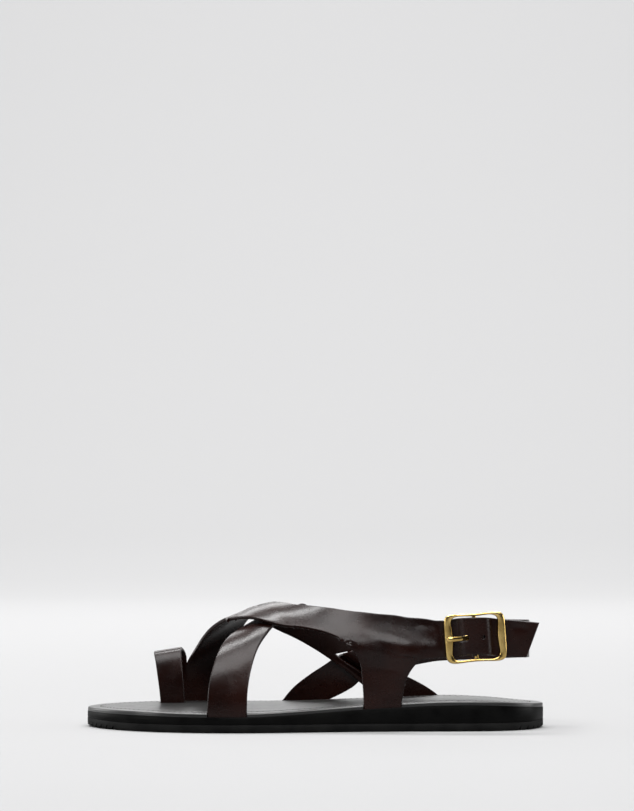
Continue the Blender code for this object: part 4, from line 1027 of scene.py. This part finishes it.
def loop_point(turn, across):
    """Point of the toe loop; turn runs from 0 at the medial root to 1 at the near foot."""
    edges = spline([row[2:] for row in TOE_LOOP], turn_row(turn))
    x = between(edges[0], edges[1], across) * SOLE_LENGTH
    half = TOE_LOOP_WIDTH / 2
    base = footbed_z(x) - POCKET_DEPTH
    height = TOE_LOOP_HEIGHT + POCKET_DEPTH - TOE_LOOP_TILT * (0.5 - across)
    angle = turn * math.pi
    across_share = squared(math.cos(angle), 2 / TOE_LOOP_SQUARENESS)
    up_share = math.sin(angle) ** (2 / TOE_LOOP_SQUARENESS)
    if math.cos(angle) > 0:
        half += edge_y(1, x) - edge_y(1, LOOP_ROOT_ALONG * SOLE_LENGTH)
    return np.array([x, loop_centre_y() + half * across_share, base + height * up_share])


def turn_row(turn):
    places = [row[1] for row in TOE_LOOP]
    return float(np.interp(turn, places, range(len(places))))


def add_toe_loop(sheet, rows, numbers, notch):
    """Hoop whose rear edge is the band's front edge up to the notch."""
    columns = LOOP_COLUMNS
    shared = [numbers[i][0] for i in range(notch + 1)]
    heights = [rows[i][0][2] for i in range(notch + 1)]
    turns = []
    for height in heights:
        low, high = 0.0, LOOP_JOIN_BEFORE
        for _ in range(HALVINGS):
            middle = (low + high) / 2
            if loop_point(middle, 1.0)[2] < height:
                low = middle
            else:
                high = middle
        turns.append(low)
    turns[0] = 0.0
    loop_rows = []
    for i, turn in enumerate(turns):
        edge = rows[i][0]
        shift = edge - loop_point(turn, 1.0)
        points = [loop_point(turn, c / columns) + shift * (c / columns) ** 2 for c in range(columns)]
        loop_rows.append(sheet.add_points(points, UPPER_WALL) + [shared[i]])
    shift = rows[notch][0] - loop_point(turns[-1], 1.0)
    last = turns[-1]
    for k in range(1, LOOP_STEPS + 1):
        turn = last + (1 - last) * k / LOOP_STEPS
        fade = max(0.0, 1 - (turn - last) / LOOP_JOIN_FADE)
        points = [loop_point(turn, c / columns) + shift * (c / columns) ** 2 * fade
                  for c in range(columns + 1)]
        loop_rows.append(sheet.add_points(points, UPPER_WALL))
    sheet.add_grid([row[::-1] for row in loop_rows][::-1])


def add_leg(sheet, rows, numbers):
    """Leg from the lower edge of the quarter to the lateral pocket."""
    chosen = []
    for i in range(len(rows)):
        share = rows[i][0][0] / SOLE_LENGTH
        on_outside = rows[i][0][1] < 0
        if on_outside and LEG_FROM_ALONG - 1e-3 <= share <= LEG_TO_ALONG + 1e-3:
            chosen.append(i)
    top = [numbers[i][0] for i in chosen]
    starts = [rows[i][0][0] for i in chosen]
    spread = (np.array(starts) - starts[0]) / (starts[-1] - starts[0])
    grid = [top]
    first = ("quarter", starts[0] / SOLE_LENGTH, named(BAND, "quarter")[2],
             starts[-1] / SOLE_LENGTH, named(BAND, "ankle")[2])
    table = (first,) + LEG
    for k in range(1, LEG_STEPS + 1):
        values = strap_row(table, (len(table) - 1) * k / LEG_STEPS)
        down = k / LEG_STEPS
        fade = max(0.0, 1 - LEG_STRAIGHTENS * down) ** 2
        row = []
        for j, share in enumerate(spread):
            along, around = between(values[:2], values[2:], share)
            lift = level_lift(LEG_LEVEL * max(0.0, 1 - LEG_SINKS * down), UPPER_WALL)
            point = root_drop(along, around, lift, UPPER_WALL)
            straight = between(rows[chosen[0]][0], rows[chosen[-1]][0], share)
            point = point + (rows[chosen[j]][0] - straight) * fade * LEG_FOLLOWS
            row.append(point)
        grid.append(sheet.add_points(row, UPPER_WALL))
    sheet.add_grid([row[::-1] for row in grid[::-1]])


def turned(u, v):
    """Buckle coordinates (along, up) to world (x, z)."""
    centre = buckle_centre()
    c = math.cos(BUCKLE_TURN)
    s = math.sin(BUCKLE_TURN)
    return centre[0] + u * c - v * s, centre[2] + u * s + v * c


def turned_point(u, y, v):
    x, z = turned(u, v)
    return np.array([x, y, z])


def prong_path():
    """Middle line of the prong in (along, across): tip, shaft, then round the bar."""
    bar = bar_y()
    front = buckle_centre()[1] - BUCKLE_THICKNESS / 2 - GAP - PRONG_THICKNESS / 2
    ring = BAR_RADIUS + GAP + PRONG_THICKNESS * 0.25
    path = [(share * BUCKLE_LENGTH, front + sunk) for _, share, sunk in PRONG_SHAFT]
    for step in range(PRONG_TURNS):
        angle = math.radians(PRONG_TURN_FROM + PRONG_TURN_STEP * step)
        path.append((ring * math.cos(angle), bar + ring * math.sin(angle)))
    return path


def window_loop(half_length, half_height, waist, side_bulge, power):
    """Closed loop of (u, v), spaced evenly: a soft rectangle with drawn-in sides."""
    dense = []
    for k in range(720):
        angle = 2 * math.pi * k / 720
        c = math.cos(angle)
        s = math.sin(angle)
        u = half_length * squared(c, 2 / power)
        v = half_height * squared(s, 2 / power)
        v_new = v * (1 - waist * math.cos(math.pi * u / (2 * half_length)) ** 2)
        u_new = u * (1 - side_bulge * math.cos(math.pi * v / (2 * half_height)) ** 2)
        dense.append((u_new, v_new))
    dense = np.array(dense + dense[:1])
    lengths = np.concatenate([[0], np.cumsum(np.linalg.norm(np.diff(dense, axis=0), axis=1))])
    marks = np.linspace(0, lengths[-1], FRAME_POINTS, endpoint=False)
    return [[float(np.interp(m, lengths, dense[:, axis])) for axis in (0, 1)] for m in marks]


def build_hole_cutter():
    """Prong slot and one punched hole in the buckled end."""
    pieces = []
    centre = buckle_centre()
    outside = centre[1] - BUCKLE_LENGTH / 3
    inside = centre[1] + BUCKLE_LENGTH / 3
    slot_from = PRONG_HOLE_FROM * BUCKLE_LENGTH
    slot_to = PRONG_HOLE_TO * BUCKLE_LENGTH
    tall = PRONG_WIDTH / 2 + 2 * GAP
    pieces.append(cross_prism(slot_from, slot_to, tall, outside, inside))
    pieces.append(round_cutter((slot_from + slot_to) / 2 + HOLE_PITCH, outside, inside))
    return join_cutters("strap holes", pieces)


def cross_prism(u_from, u_to, half_height, y_from, y_to):
    """Slot with cut corners, through the strap."""
    chamfer = half_height * SLOT_CORNER
    loop = [(u_from + chamfer, -half_height), (u_to - chamfer, -half_height),
            (u_to, -half_height + chamfer), (u_to, half_height - chamfer),
            (u_to - chamfer, half_height), (u_from + chamfer, half_height),
            (u_from, half_height - chamfer), (u_from, -half_height + chamfer)]
    return across_prism(loop, y_from, y_to)


def round_cutter(u, y_from, y_to):
    angles = [2 * math.pi * k / HOLE_SIDES for k in range(HOLE_SIDES)]
    loop = [(u + HOLE_RADIUS * math.cos(a), HOLE_RADIUS * math.sin(a)) for a in angles]
    return across_prism(loop, y_from, y_to)


def across_prism(loop, y_from, y_to):
    """Prism through the strap over a loop in the buckle's directions."""
    rings = [[turned_point(u, y, v) for u, v in loop] for y in (y_from, y_to)]
    return tube("across cutter", rings)


def spans(*marks):
    """Shares across a strap that include every mark, COLUMNS_PER_SPAN to each span."""
    shares = [marks[0]]
    for low, high in zip(marks, marks[1:]):
        steps = range(1, COLUMNS_PER_SPAN + 1)
        shares += [low + (high - low) * c / COLUMNS_PER_SPAN for c in steps]
    return shares


def lip_lean(share):
    """The slit's front lip leans in and its rear lip leans out, most at the slit itself."""
    front = max(0.0, 1 - abs(share - SLIT_FROM_EDGE) / (SLIT_FROM_EDGE / 2))
    rear = max(0.0, 1 - abs(share - SLIT_TO_EDGE) / ((1 - SLIT_TO_EDGE) / 2))
    return SLIT_LIP_LEAN * (rear - front)


def heel_wrap_point(turn, across):
    """Point of the heel strap round the heel; turn 0 is medial, 1 is lateral."""
    centre, radius = heel_round()
    lower, upper = by_along(HEEL_EDGE_UP, turn)
    z = between(upper, lower, across) * INSTEP_HEIGHT
    middle = radius + STRAP_WALL / 2
    angle = turn * math.pi
    return np.array([centre[0] + middle * math.sin(angle), centre[1] + middle * math.cos(angle), z])


def ease_rows(rows, joint):
    """Soften the change between the form's wall and the heel's round."""
    for _ in range(EASE_PASSES):
        for i in range(joint - EASE_REACH, joint + EASE_REACH + 1):
            for j in range(len(rows[i])):
                middle = (rows[i - 1][j] + rows[i + 1][j]) / 2
                rows[i][j] = rows[i][j] * 0.5 + middle * 0.5


# Soft creases of the leather: name, side (-1 lateral, 1 medial), from x and z, to x and z,
# half width and height in mm, negative for a trough
UPPER_CREASES = (
    ("across the instep", -1, -30, 66, -14, 61, 2.6, -0.12),
    ("beside it", -1, -26, 69, -10, 63.5, 2.4, 0.08),
    ("quarter, fullness", -1, -14, 54, 76, 44, 9.0, 2.0),
    ("quarter, long", -1, 28, 58, 56, 51, 1.8, -0.20),
    ("quarter, long ridge", -1, 26, 55, 54, 48, 2.0, 0.14),
    ("quarter, short", -1, 34, 50, 47, 44, 1.5, -0.16),
    ("above the leg", -1, 36, 43, 52, 41, 1.6, 0.14),
    ("leg, upper", -1, 30, 37, 50, 35, 1.8, -0.14),
    ("towards the buckle", -1, 56, 61, 72, 60, 2.0, -0.30),
    ("towards the buckle", -1, 58, 49, 76, 47, 2.6, 0.30),
    ("before the frame", -1, 72, 46, 74, 60, 1.6, -0.35),
    ("tail", -1, 112, 60, 122, 58, 2.0, -0.25),
)
CROSS_CREASES = (
    ("lateral, high", -1, -58, 44, -38, 49, 2.8, -0.05),
    ("lateral, middle", -1, -60, 33, -40, 35, 3.2, 0.05),
)


def build_outsole():
    outsole = sole_layer("tread_layer", (
        (EDGE_BEVEL * 1.2, lambda x, y: ground_z(x)),
        (EDGE_BEVEL * 0.6, lambda x, y: ground_z(x) + EDGE_BEVEL * 0.15),
        (EDGE_BEVEL * 0.2, lambda x, y: ground_z(x) + EDGE_BEVEL * 0.5),
        (0.0, lambda x, y: ground_z(x) + EDGE_BEVEL),
        (0.0, lambda x, y: tread_top_z(x) - SEAM_OUT),
        (SEAM_SOFT, lambda x, y: tread_top_z(x) - SEAM_SOFT),
        (SEAM_OUT, lambda x, y: tread_top_z(x)),
    ), TREAD_COLUMNS)
    carve(outsole, build_tread_cutter())
    return outsole


def build_midsole():
    def low(x, y):
        return tread_top_z(x) + LAYER_GAP

    def high(x, y):
        return insole_under_z(x, y) - LAYER_GAP

    midsole = sole_layer("midsole_layer", (
        (SEAM_OUT, low),
        (SEAM_SOFT, lambda x, y: low(x, y) + SEAM_SOFT),
        (0.0, lambda x, y: low(x, y) + SEAM_OUT),
        (0.0, lambda x, y: high(x, y) - SEAM_OUT),
        (SEAM_SOFT, lambda x, y: high(x, y) - SEAM_SOFT),
        (SEAM_OUT, high),
    ), MIDSOLE_COLUMNS)
    pockets = join_cutters("midsole pockets", pocket_cutters(POCKET_LIP, root_floor))
    carve(midsole, pockets)
    return midsole


def groove_depth(inset):
    """Depth of the stitched groove round the footbed at a distance from the edge."""
    return GROOVE_SINK * math.exp(-((inset - STITCH_INSET) / STITCH_GROOVE) ** 2)


def build_insole():
    rings = [(INSOLE_INSET, insole_under_z)]
    for step in range(BEVEL_STEPS + 1):
        angle = math.pi / 2 * step / BEVEL_STEPS
        inset = INSOLE_INSET + EDGE_BEVEL * (1 - math.cos(angle))
        drop = EDGE_BEVEL * (1 - math.sin(angle))
        rings.append((inset, lambda x, y, drop=drop: footbed_z(x, y) - drop))
    for inset_mm in GROOVE_RINGS:
        inset = inset_mm * MM
        rings.append((inset, lambda x, y, sink=groove_depth(inset): footbed_z(x, y) - sink))
    insole = sole_layer("footbed", rings, INSOLE_COLUMNS)
    slots = join_cutters("insole slots", pocket_cutters(-EDGE_CLEAR, lambda x, side: 0.0))
    carve(insole, slots, 50)
    return insole


def build_footbed_stitches():
    """Short threads lying in the groove round the footbed."""
    ring = outline_ring(STITCH_INSET)
    vertices = []
    faces = []
    travelled = 0.0
    due = 0.0
    for i in range(len(ring)):
        a = ring[i]
        b = ring[(i + 1) % len(ring)]
        step = np.linalg.norm(b - a)
        while due < travelled + step:
            t = (due - travelled) / step
            place = a + (b - a) * t
            add_thread(vertices, faces, place, (b - a) / step)
            due += STITCH_PITCH
        travelled += step
    return mesh_piece("footbed_stitches", vertices, faces)


def add_thread(vertices, faces, place, along):
    """One thread: a bent spindle that dips into the footbed at both ends."""
    across = np.array([-along[1], along[0]])
    length = STITCH_PITCH * THREAD_SHARE
    rows = []
    for k in range(THREAD_STEPS + 1):
        t = k / THREAD_STEPS * 2 - 1
        middle = place + along * t * length / 2
        radius = THREAD_RADIUS * math.sqrt(max(0.08, 1 - t ** 4))
        z = footbed_z(middle[0], middle[1]) - GROOVE_SINK + THREAD_RADIUS * (0.9 - 1.6 * t * t)
        row = []
        for s in range(THREAD_SIDES):
            angle = math.pi * 2 * s / THREAD_SIDES
            p = middle + across * radius * math.cos(angle)
            row.append(len(vertices))
            vertices.append((p[0], p[1], z + radius * math.sin(angle)))
        rows.append(row)
    for a, b in zip(rows, rows[1:]):
        faces.extend(bridge(a, b))
    faces.extend([tuple(rows[0][::-1]), tuple(rows[-1])])


def build_upper():
    """Toe loop, band, quarter with its leg and buckled end, as one leather wall."""
    sheet = Sheet()
    rows = band_rows()
    numbers = [sheet.add_points(row, UPPER_WALL) for row in rows]
    sheet.add_grid(numbers)
    add_toe_loop(sheet, rows, numbers, notch_row())
    add_leg(sheet, rows, numbers)
    upper = sheet.leather("upper_leather", UPPER_CREASES)
    carve(upper, build_hole_cutter(), 60)
    return upper


def build_cross_strap():
    """Strap under the upper's crossing, with the lengthwise slit for the heel strap."""
    sheet = Sheet()
    shares = spans(0.0, SLIT_FROM_EDGE, SLIT_TO_EDGE, 1.0)
    rows = []
    for k in range(CROSS_STEPS + 1):
        t = (len(CROSS) - 1) * k / CROSS_STEPS
        values = strap_row(CROSS, t)
        in_slit = max(0.0, min(1.0, (t - SLIT_ROWS[0]) / (SLIT_ROWS[1] - SLIT_ROWS[0])))
        row = []
        for s in shares:
            along, around, level = between(values[:3], values[3:], s)
            lift = level_lift(level, STRAP_WALL) + lip_lean(s) * math.sin(math.pi * in_slit)
            row.append(root_drop(along, around, lift, STRAP_WALL))
        rows.append(sheet.add_points(row, STRAP_WALL))
    first = round(SLIT_ROWS[0] * CROSS_STEPS / (len(CROSS) - 1))
    last = round(SLIT_ROWS[1] * CROSS_STEPS / (len(CROSS) - 1))
    sheet.add_grid(rows, skip=lambda i, j: first <= i < last
                   and COLUMNS_PER_SPAN <= j < 2 * COLUMNS_PER_SPAN)
    return sheet.leather("cross_strap_leather", CROSS_CREASES)


def build_heel_strap():
    """Strap from the medial pocket, through the slit, round the heel to the centre bar."""
    sheet = Sheet()
    shares = spans(0.0, FORK_FROM, FORK_TO, 1.0)
    rows = []
    walls = []
    for k in range(HEEL_FRONT_STEPS + 1):
        values = strap_row(HEEL_FRONT, (len(HEEL_FRONT) - 1) * k / HEEL_FRONT_STEPS)
        lift = level_lift(values[4], STRAP_WALL)
        places = [between(values[:2], values[2:4], s) for s in shares]
        rows.append([root_drop(along, around, lift, STRAP_WALL) for along, around in places])
        walls.append(STRAP_WALL)
    joint = len(rows) - 1
    for k in range(1, HEEL_ROUND_STEPS + 1):
        turn = HEEL_TURN_END * k / HEEL_ROUND_STEPS
        rows.append([heel_wrap_point(turn, s) for s in shares])
        walls.append(STRAP_WALL)
    ease_rows(rows, joint)
    fork = len(rows) - 1
    last = rows[-1]
    bar_x, _, bar_z = buckle_centre()
    ring = BAR_RADIUS + GAP + SKIVED_WALL / 2
    most = BUCKLE_HEIGHT / 2 - BUCKLE_WAIST - BUCKLE_TOP_BAND - 2 * GAP
    ups = [max(-most, min(most, p[2] - bar_z)) for p in last]
    straight = last[0][0] - bar_x
    for k in range(1, TURN_STEPS + 1):
        t = k / TURN_STEPS
        s = t * t * (3 - 2 * t)
        up_share = min(1.0, t * 1.5)
        row = []
        for p, up in zip(last, ups):
            target = turned_point(straight * (1 - 0.8 * t), bar_y() + ring, up)
            y = between(p[1], target[1], s)
            row.append(np.array([target[0], y, between(p[2], target[2], up_share)]))
        rows.append(row)
        walls.append(between(STRAP_WALL, SKIVED_WALL, s))
    for step in range(FOLD_STEPS):
        angle = math.radians(90 + FOLD_ANGLE * step / (FOLD_STEPS - 1))
        y = bar_y() + ring * math.sin(angle)
        rows.append([turned_point(ring * math.cos(angle), y, up) for up in ups])
        walls.append(SKIVED_WALL)
    numbers = [sheet.add_points(row, wall) for row, wall in zip(rows, walls)]
    sheet.add_grid(numbers, skip=lambda i, j: i > fork + TURN_STEPS // 2
                   and COLUMNS_PER_SPAN <= j < 2 * COLUMNS_PER_SPAN)
    return sheet.leather("heel_strap_leather")


def build_buckle_frame():
    """Brass frame with a domed front, drawn-in long sides and its centre bar."""
    half_length = BUCKLE_LENGTH / 2
    half_height = BUCKLE_HEIGHT / 2
    waist = BUCKLE_WAIST / half_height
    outer = np.array(window_loop(half_length, half_height, waist, 0.0, FRAME_SQUARENESS))
    inner = np.array(window_loop(half_length - BUCKLE_SIDE_BAND, half_height - BUCKLE_TOP_BAND,
                                 waist, WINDOW_BULGE, WINDOW_SQUARENESS))
    middle = buckle_centre()[1]
    vertices = []
    faces = []
    loops = []
    for k in range(FRAME_SIDES):
        angle = 2 * math.pi * k / FRAME_SIDES
        s = math.sin(angle)
        share = 0.5 + 0.5 * squared(math.cos(angle), FRONT_ROUNDING)
        rounding = FRONT_ROUNDING if s > 0 else BACK_ROUNDING
        y = middle + BUCKLE_THICKNESS / 2 * squared(s, rounding)
        loops.append(range(len(vertices), len(vertices) + FRAME_POINTS))
        vertices += [turned_point(u, y, v) for u, v in inner + (outer - inner) * share]
    for i in range(FRAME_SIDES):
        faces += bridge(loops[i], loops[(i + 1) % FRAME_SIDES])
    reach = half_height - BUCKLE_WAIST - BUCKLE_TOP_BAND / 2
    ends = []
    for v in (-reach, reach):
        ends.append(range(len(vertices), len(vertices) + BAR_SIDES))
        for k in range(BAR_SIDES):
            angle = 2 * math.pi * k / BAR_SIDES
            y = bar_y() + BAR_RADIUS * math.sin(angle)
            vertices.append(turned_point(BAR_RADIUS * math.cos(angle), y, v))
    faces += bridge(*ends)
    faces += [tuple(end) for end in ends]
    frame_piece = mesh_piece("brass_frame", vertices, faces)
    frame_piece.data.set_sharp_from_angle(angle=math.radians(60))
    return frame_piece


def build_prong():
    """Flat brass pin swept from its tip on the front bar round the centre bar."""
    coarse = prong_path()
    rows = len(coarse) - 1
    path = [spline(coarse, rows * k / PRONG_STEPS) for k in range(PRONG_STEPS + 1)]
    rings = []
    for i, place in enumerate(path):
        tangent = path[min(i + 1, PRONG_STEPS)] - path[max(i - 1, 0)]
        tangent /= np.linalg.norm(tangent)
        normal = np.array([-tangent[1], tangent[0]])
        along = i / PRONG_STEPS * rows
        thin = min(1.0, max(0.0, along - 4))
        tip = min(1.0, 0.25 + 0.75 * math.sqrt(min(1.0, along / 0.9)))
        thick = PRONG_THICKNESS / 2 * (1 - 0.5 * thin) * tip
        wide = PRONG_WIDTH / 2 * (0.72 + 0.28 * min(1.0, along)) * min(1.0, 0.5 + along)
        ring = []
        for k in range(PRONG_SIDES):
            angle = 2 * math.pi * k / PRONG_SIDES
            spot = place + normal * thick * squared(math.cos(angle), PRONG_ROUNDING)
            up = wide * squared(math.sin(angle), PRONG_ROUNDING)
            ring.append(turned_point(spot[0], spot[1], up))
        rings.append(ring)
    prong = tube("brass_prong", rings)
    prong.data.set_sharp_from_angle(angle=math.radians(60))
    return prong


def new_material(name):
    """Material, its node tree, and the place on the object that its textures read."""
    material = bpy.data.materials.new(name)
    material.use_nodes = True
    tree = material.node_tree
    return material, tree, tree.nodes.new("ShaderNodeTexCoord").outputs["Object"]


def feed(tree, node, values, linked):
    """Set a node's inputs to values and link others to outputs."""
    for name, value in values.items():
        node.inputs[name].default_value = value
    for name, output in linked.items():
        tree.links.new(output, node.inputs[name])
    return node


def shade(tree, values, linked):
    """Feed the material's own shader."""
    feed(tree, tree.nodes["Principled BSDF"], values, linked)


def noise(tree, place, scale, detail, roughness=0.55):
    values = {"Scale": scale, "Detail": detail, "Roughness": roughness}
    return feed(tree, tree.nodes.new("ShaderNodeTexNoise"), values, {"Vector": place}).outputs["Fac"]


def ramp(tree, value, low, high, stops=(0.35, 0.65)):
    """Colour ramp between two colours."""
    node = feed(tree, tree.nodes.new("ShaderNodeValToRGB"), {}, {"Fac": value})
    for element, stop, colour in zip(node.color_ramp.elements, stops, (low, high)):
        element.position = stop
        element.color = (*colour, 1)
    return node


def tint(tree, value, low, high):
    return ramp(tree, value, low, high).outputs["Color"]


def ranged(tree, value, span):
    """The usual range of a noise, brought to a span."""
    values = {"From Min": 0.3, "From Max": 0.7, "To Min": span[0], "To Max": span[1]}
    node = tree.nodes.new("ShaderNodeMapRange")
    return feed(tree, node, values, {"Value": value}).outputs["Result"]


def bump(tree, height, distance, strength, under=None):
    linked = {"Height": height}
    if under:
        linked["Normal"] = under
    node = tree.nodes.new("ShaderNodeBump")
    values = {"Distance": distance, "Strength": strength}
    return feed(tree, node, values, linked).outputs["Normal"]


def leather_material(name, dark, light, rough, grain, shine):
    """Leather: slow colour change, fine pores, soft wrinkles and an uneven polish."""
    material, tree, place = new_material(name)
    cloud = noise(tree, place, 38, 3)
    polish = noise(tree, place, 130, 4)
    wrinkle = noise(tree, place, 210, 3, 0.6)
    pores = feed(tree, tree.nodes.new("ShaderNodeTexVoronoi"), {"Scale": 1500}, {"Vector": place})
    soft = bump(tree, wrinkle, 0.0006, 0.10 * grain)
    fine = bump(tree, pores.outputs["Distance"], 0.00012, 0.22 * grain, soft)
    shade(tree, {"Specular IOR Level": shine},
          {"Base Color": tint(tree, cloud, dark, light), "Roughness": ranged(tree, polish, rough),
           "Normal": fine})
    return material


def rubber_material(name, dark, light, rough, line_scale):
    """Black sole side with faint level lines and a fine dull grain."""
    material, tree, place = new_material(name)
    cloud = noise(tree, place, 90, 4)
    stretch = feed(tree, tree.nodes.new("ShaderNodeMapping"), {"Scale": (0.03, 0.03, 1.0)},
                   {"Vector": place})
    lines = noise(tree, stretch.outputs["Vector"], line_scale, 3)
    level = bump(tree, lines, 0.0002, 0.5)
    grain = bump(tree, noise(tree, place, 1800, 2), 0.00006, 0.4, level)
    shade(tree, {"Specular IOR Level": RUBBER_SHINE},
          {"Base Color": tint(tree, cloud, dark, light), "Roughness": ranged(tree, cloud, rough),
           "Normal": grain})
    return material


def brass_material(name):
    """Polished brass of a deep gold tone, with soft tarnish and hairline scratches."""
    material, tree, place = new_material(name)
    cloud = noise(tree, place, 160, 4)
    scratches = bump(tree, noise(tree, place, 1400, 3), 0.00003, 0.25)
    shade(tree, {"Metallic": 1.0},
          {"Base Color": tint(tree, cloud, BRASS_DARK, BRASS_LIGHT),
           "Roughness": ranged(tree, cloud, BRASS_ROUGHNESS), "Normal": scratches})
    return material


def thread_material(name):
    """Dull dark thread with a fine twist."""
    material, tree, place = new_material(name)
    twist = noise(tree, place, 2600, 2)
    shade(tree, {"Roughness": THREAD_ROUGHNESS},
          {"Base Color": tint(tree, twist, THREAD_DARK, THREAD_LIGHT),
           "Normal": bump(tree, twist, 0.0001, 0.5)})
    return material


def build_floor():
    """Pale floor that sweeps up into a backdrop far behind."""
    profile = [(FLOOR_FRONT, 0.0)]
    for step in range(SWEEP_STEPS + 1):
        angle = math.pi / 2 * step / SWEEP_STEPS
        y = FLOOR_REAR + SWEEP_RADIUS * math.sin(angle)
        profile.append((y, SWEEP_RADIUS * (1 - math.cos(angle))))
    profile.append((FLOOR_REAR + SWEEP_RADIUS, BACKDROP_HEIGHT))
    sides = (-FLOOR_HALF_WIDTH, FLOOR_HALF_WIDTH)
    vertices = [(x, y, z) for y, z in profile for x in sides]
    faces = [(2 * i, 2 * i + 1, 2 * i + 3, 2 * i + 2) for i in range(len(profile) - 1)]
    mesh = bpy.data.meshes.new("floor")
    mesh.from_pydata(vertices, [], faces)
    mesh.shade_smooth()
    floor = show("floor", mesh)
    material, tree, _ = new_material("pale floor")
    shade(tree, {"Base Color": (*FLOOR_COLOUR, 1), "Roughness": FLOOR_ROUGHNESS,
                 "Specular IOR Level": 0.0}, {})
    mesh.materials.append(material)


def add_light(name, place, target, size, power):
    """White rectangular light that looks at its target."""
    light = bpy.data.lights.new(name, "AREA")
    light.shape = "RECTANGLE"
    light.size = size[0]
    light.size_y = size[1]
    light.energy = power
    holder = show(name, light)
    holder.location = place
    direction = Vector(target) - Vector(place)
    holder.rotation_euler = direction.to_track_quat("-Z", "Y").to_euler()


def build_dome():
    """World that is bright overhead and behind the object, and dark in front of it."""
    world = bpy.data.worlds.new("studio")
    world.use_nodes = True
    tree = world.node_tree
    mix = tree.nodes.new("ShaderNodeVectorMath")
    mix.operation = "DOT_PRODUCT"
    facing = tree.nodes.new("ShaderNodeTexCoord").outputs["Generated"]
    feed(tree, mix, {1: DOME_UP}, {0: facing})
    shift = tree.nodes.new("ShaderNodeMath")
    shift.operation = "ADD"
    feed(tree, shift, {1: DOME_MIDDLE}, {0: mix.outputs["Value"]})
    light = ramp(tree, shift.outputs["Value"], DOME_DARK, DOME_BRIGHT, DOME_STOPS)
    light.color_ramp.interpolation = "EASE"
    feed(tree, tree.nodes["Background"], {"Strength": DOME_STRENGTH},
         {"Color": light.outputs["Color"]})
    bpy.context.scene.world = world


def build_studio():
    build_floor()
    build_dome()
    for light in LIGHTS:
        add_light(*light)
    camera = bpy.data.cameras.new("camera")
    camera.lens = CAMERA_LENS
    camera.sensor_width = 36
    camera.sensor_fit = "AUTO"
    holder = show("camera", camera)
    holder.location = CAMERA_PLACE
    holder.rotation_euler = (math.pi / 2, 0, 0)
    bpy.context.scene.camera = holder
    bpy.context.scene.view_settings.view_transform = "Standard"


def main():
    # edge is the lighter edge material: a painted highlight along every strap's rim.
    strap, edge, flesh, bed = [leather_material(*row) for row in LEATHERS]
    side, tread = [rubber_material(*row) for row in RUBBERS]
    brass = brass_material("brass")
    thread = thread_material("thread")
    dress(build_outsole(), "outsole", "tread", tread)
    dress(build_midsole(), "midsole", "sole_side", side)
    dress(build_insole(), "insole", "footbed", bed)
    stitches = build_footbed_stitches()
    stitches.data.materials.append(thread)
    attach(stitches, "root")
    dress(build_upper(), "upper", "strap_leather", strap, edge, flesh)
    dress(build_cross_strap(), "cross_strap", "strap_leather", strap, edge, flesh)
    dress(build_heel_strap(), "heel_strap", "strap_leather", strap, edge, flesh)
    dress(build_buckle_frame(), "buckle_frame", "buckle", brass)
    dress(build_prong(), "buckle_prong", "buckle", brass)
    build_studio()
    bpy.context.view_layer.update()


main()
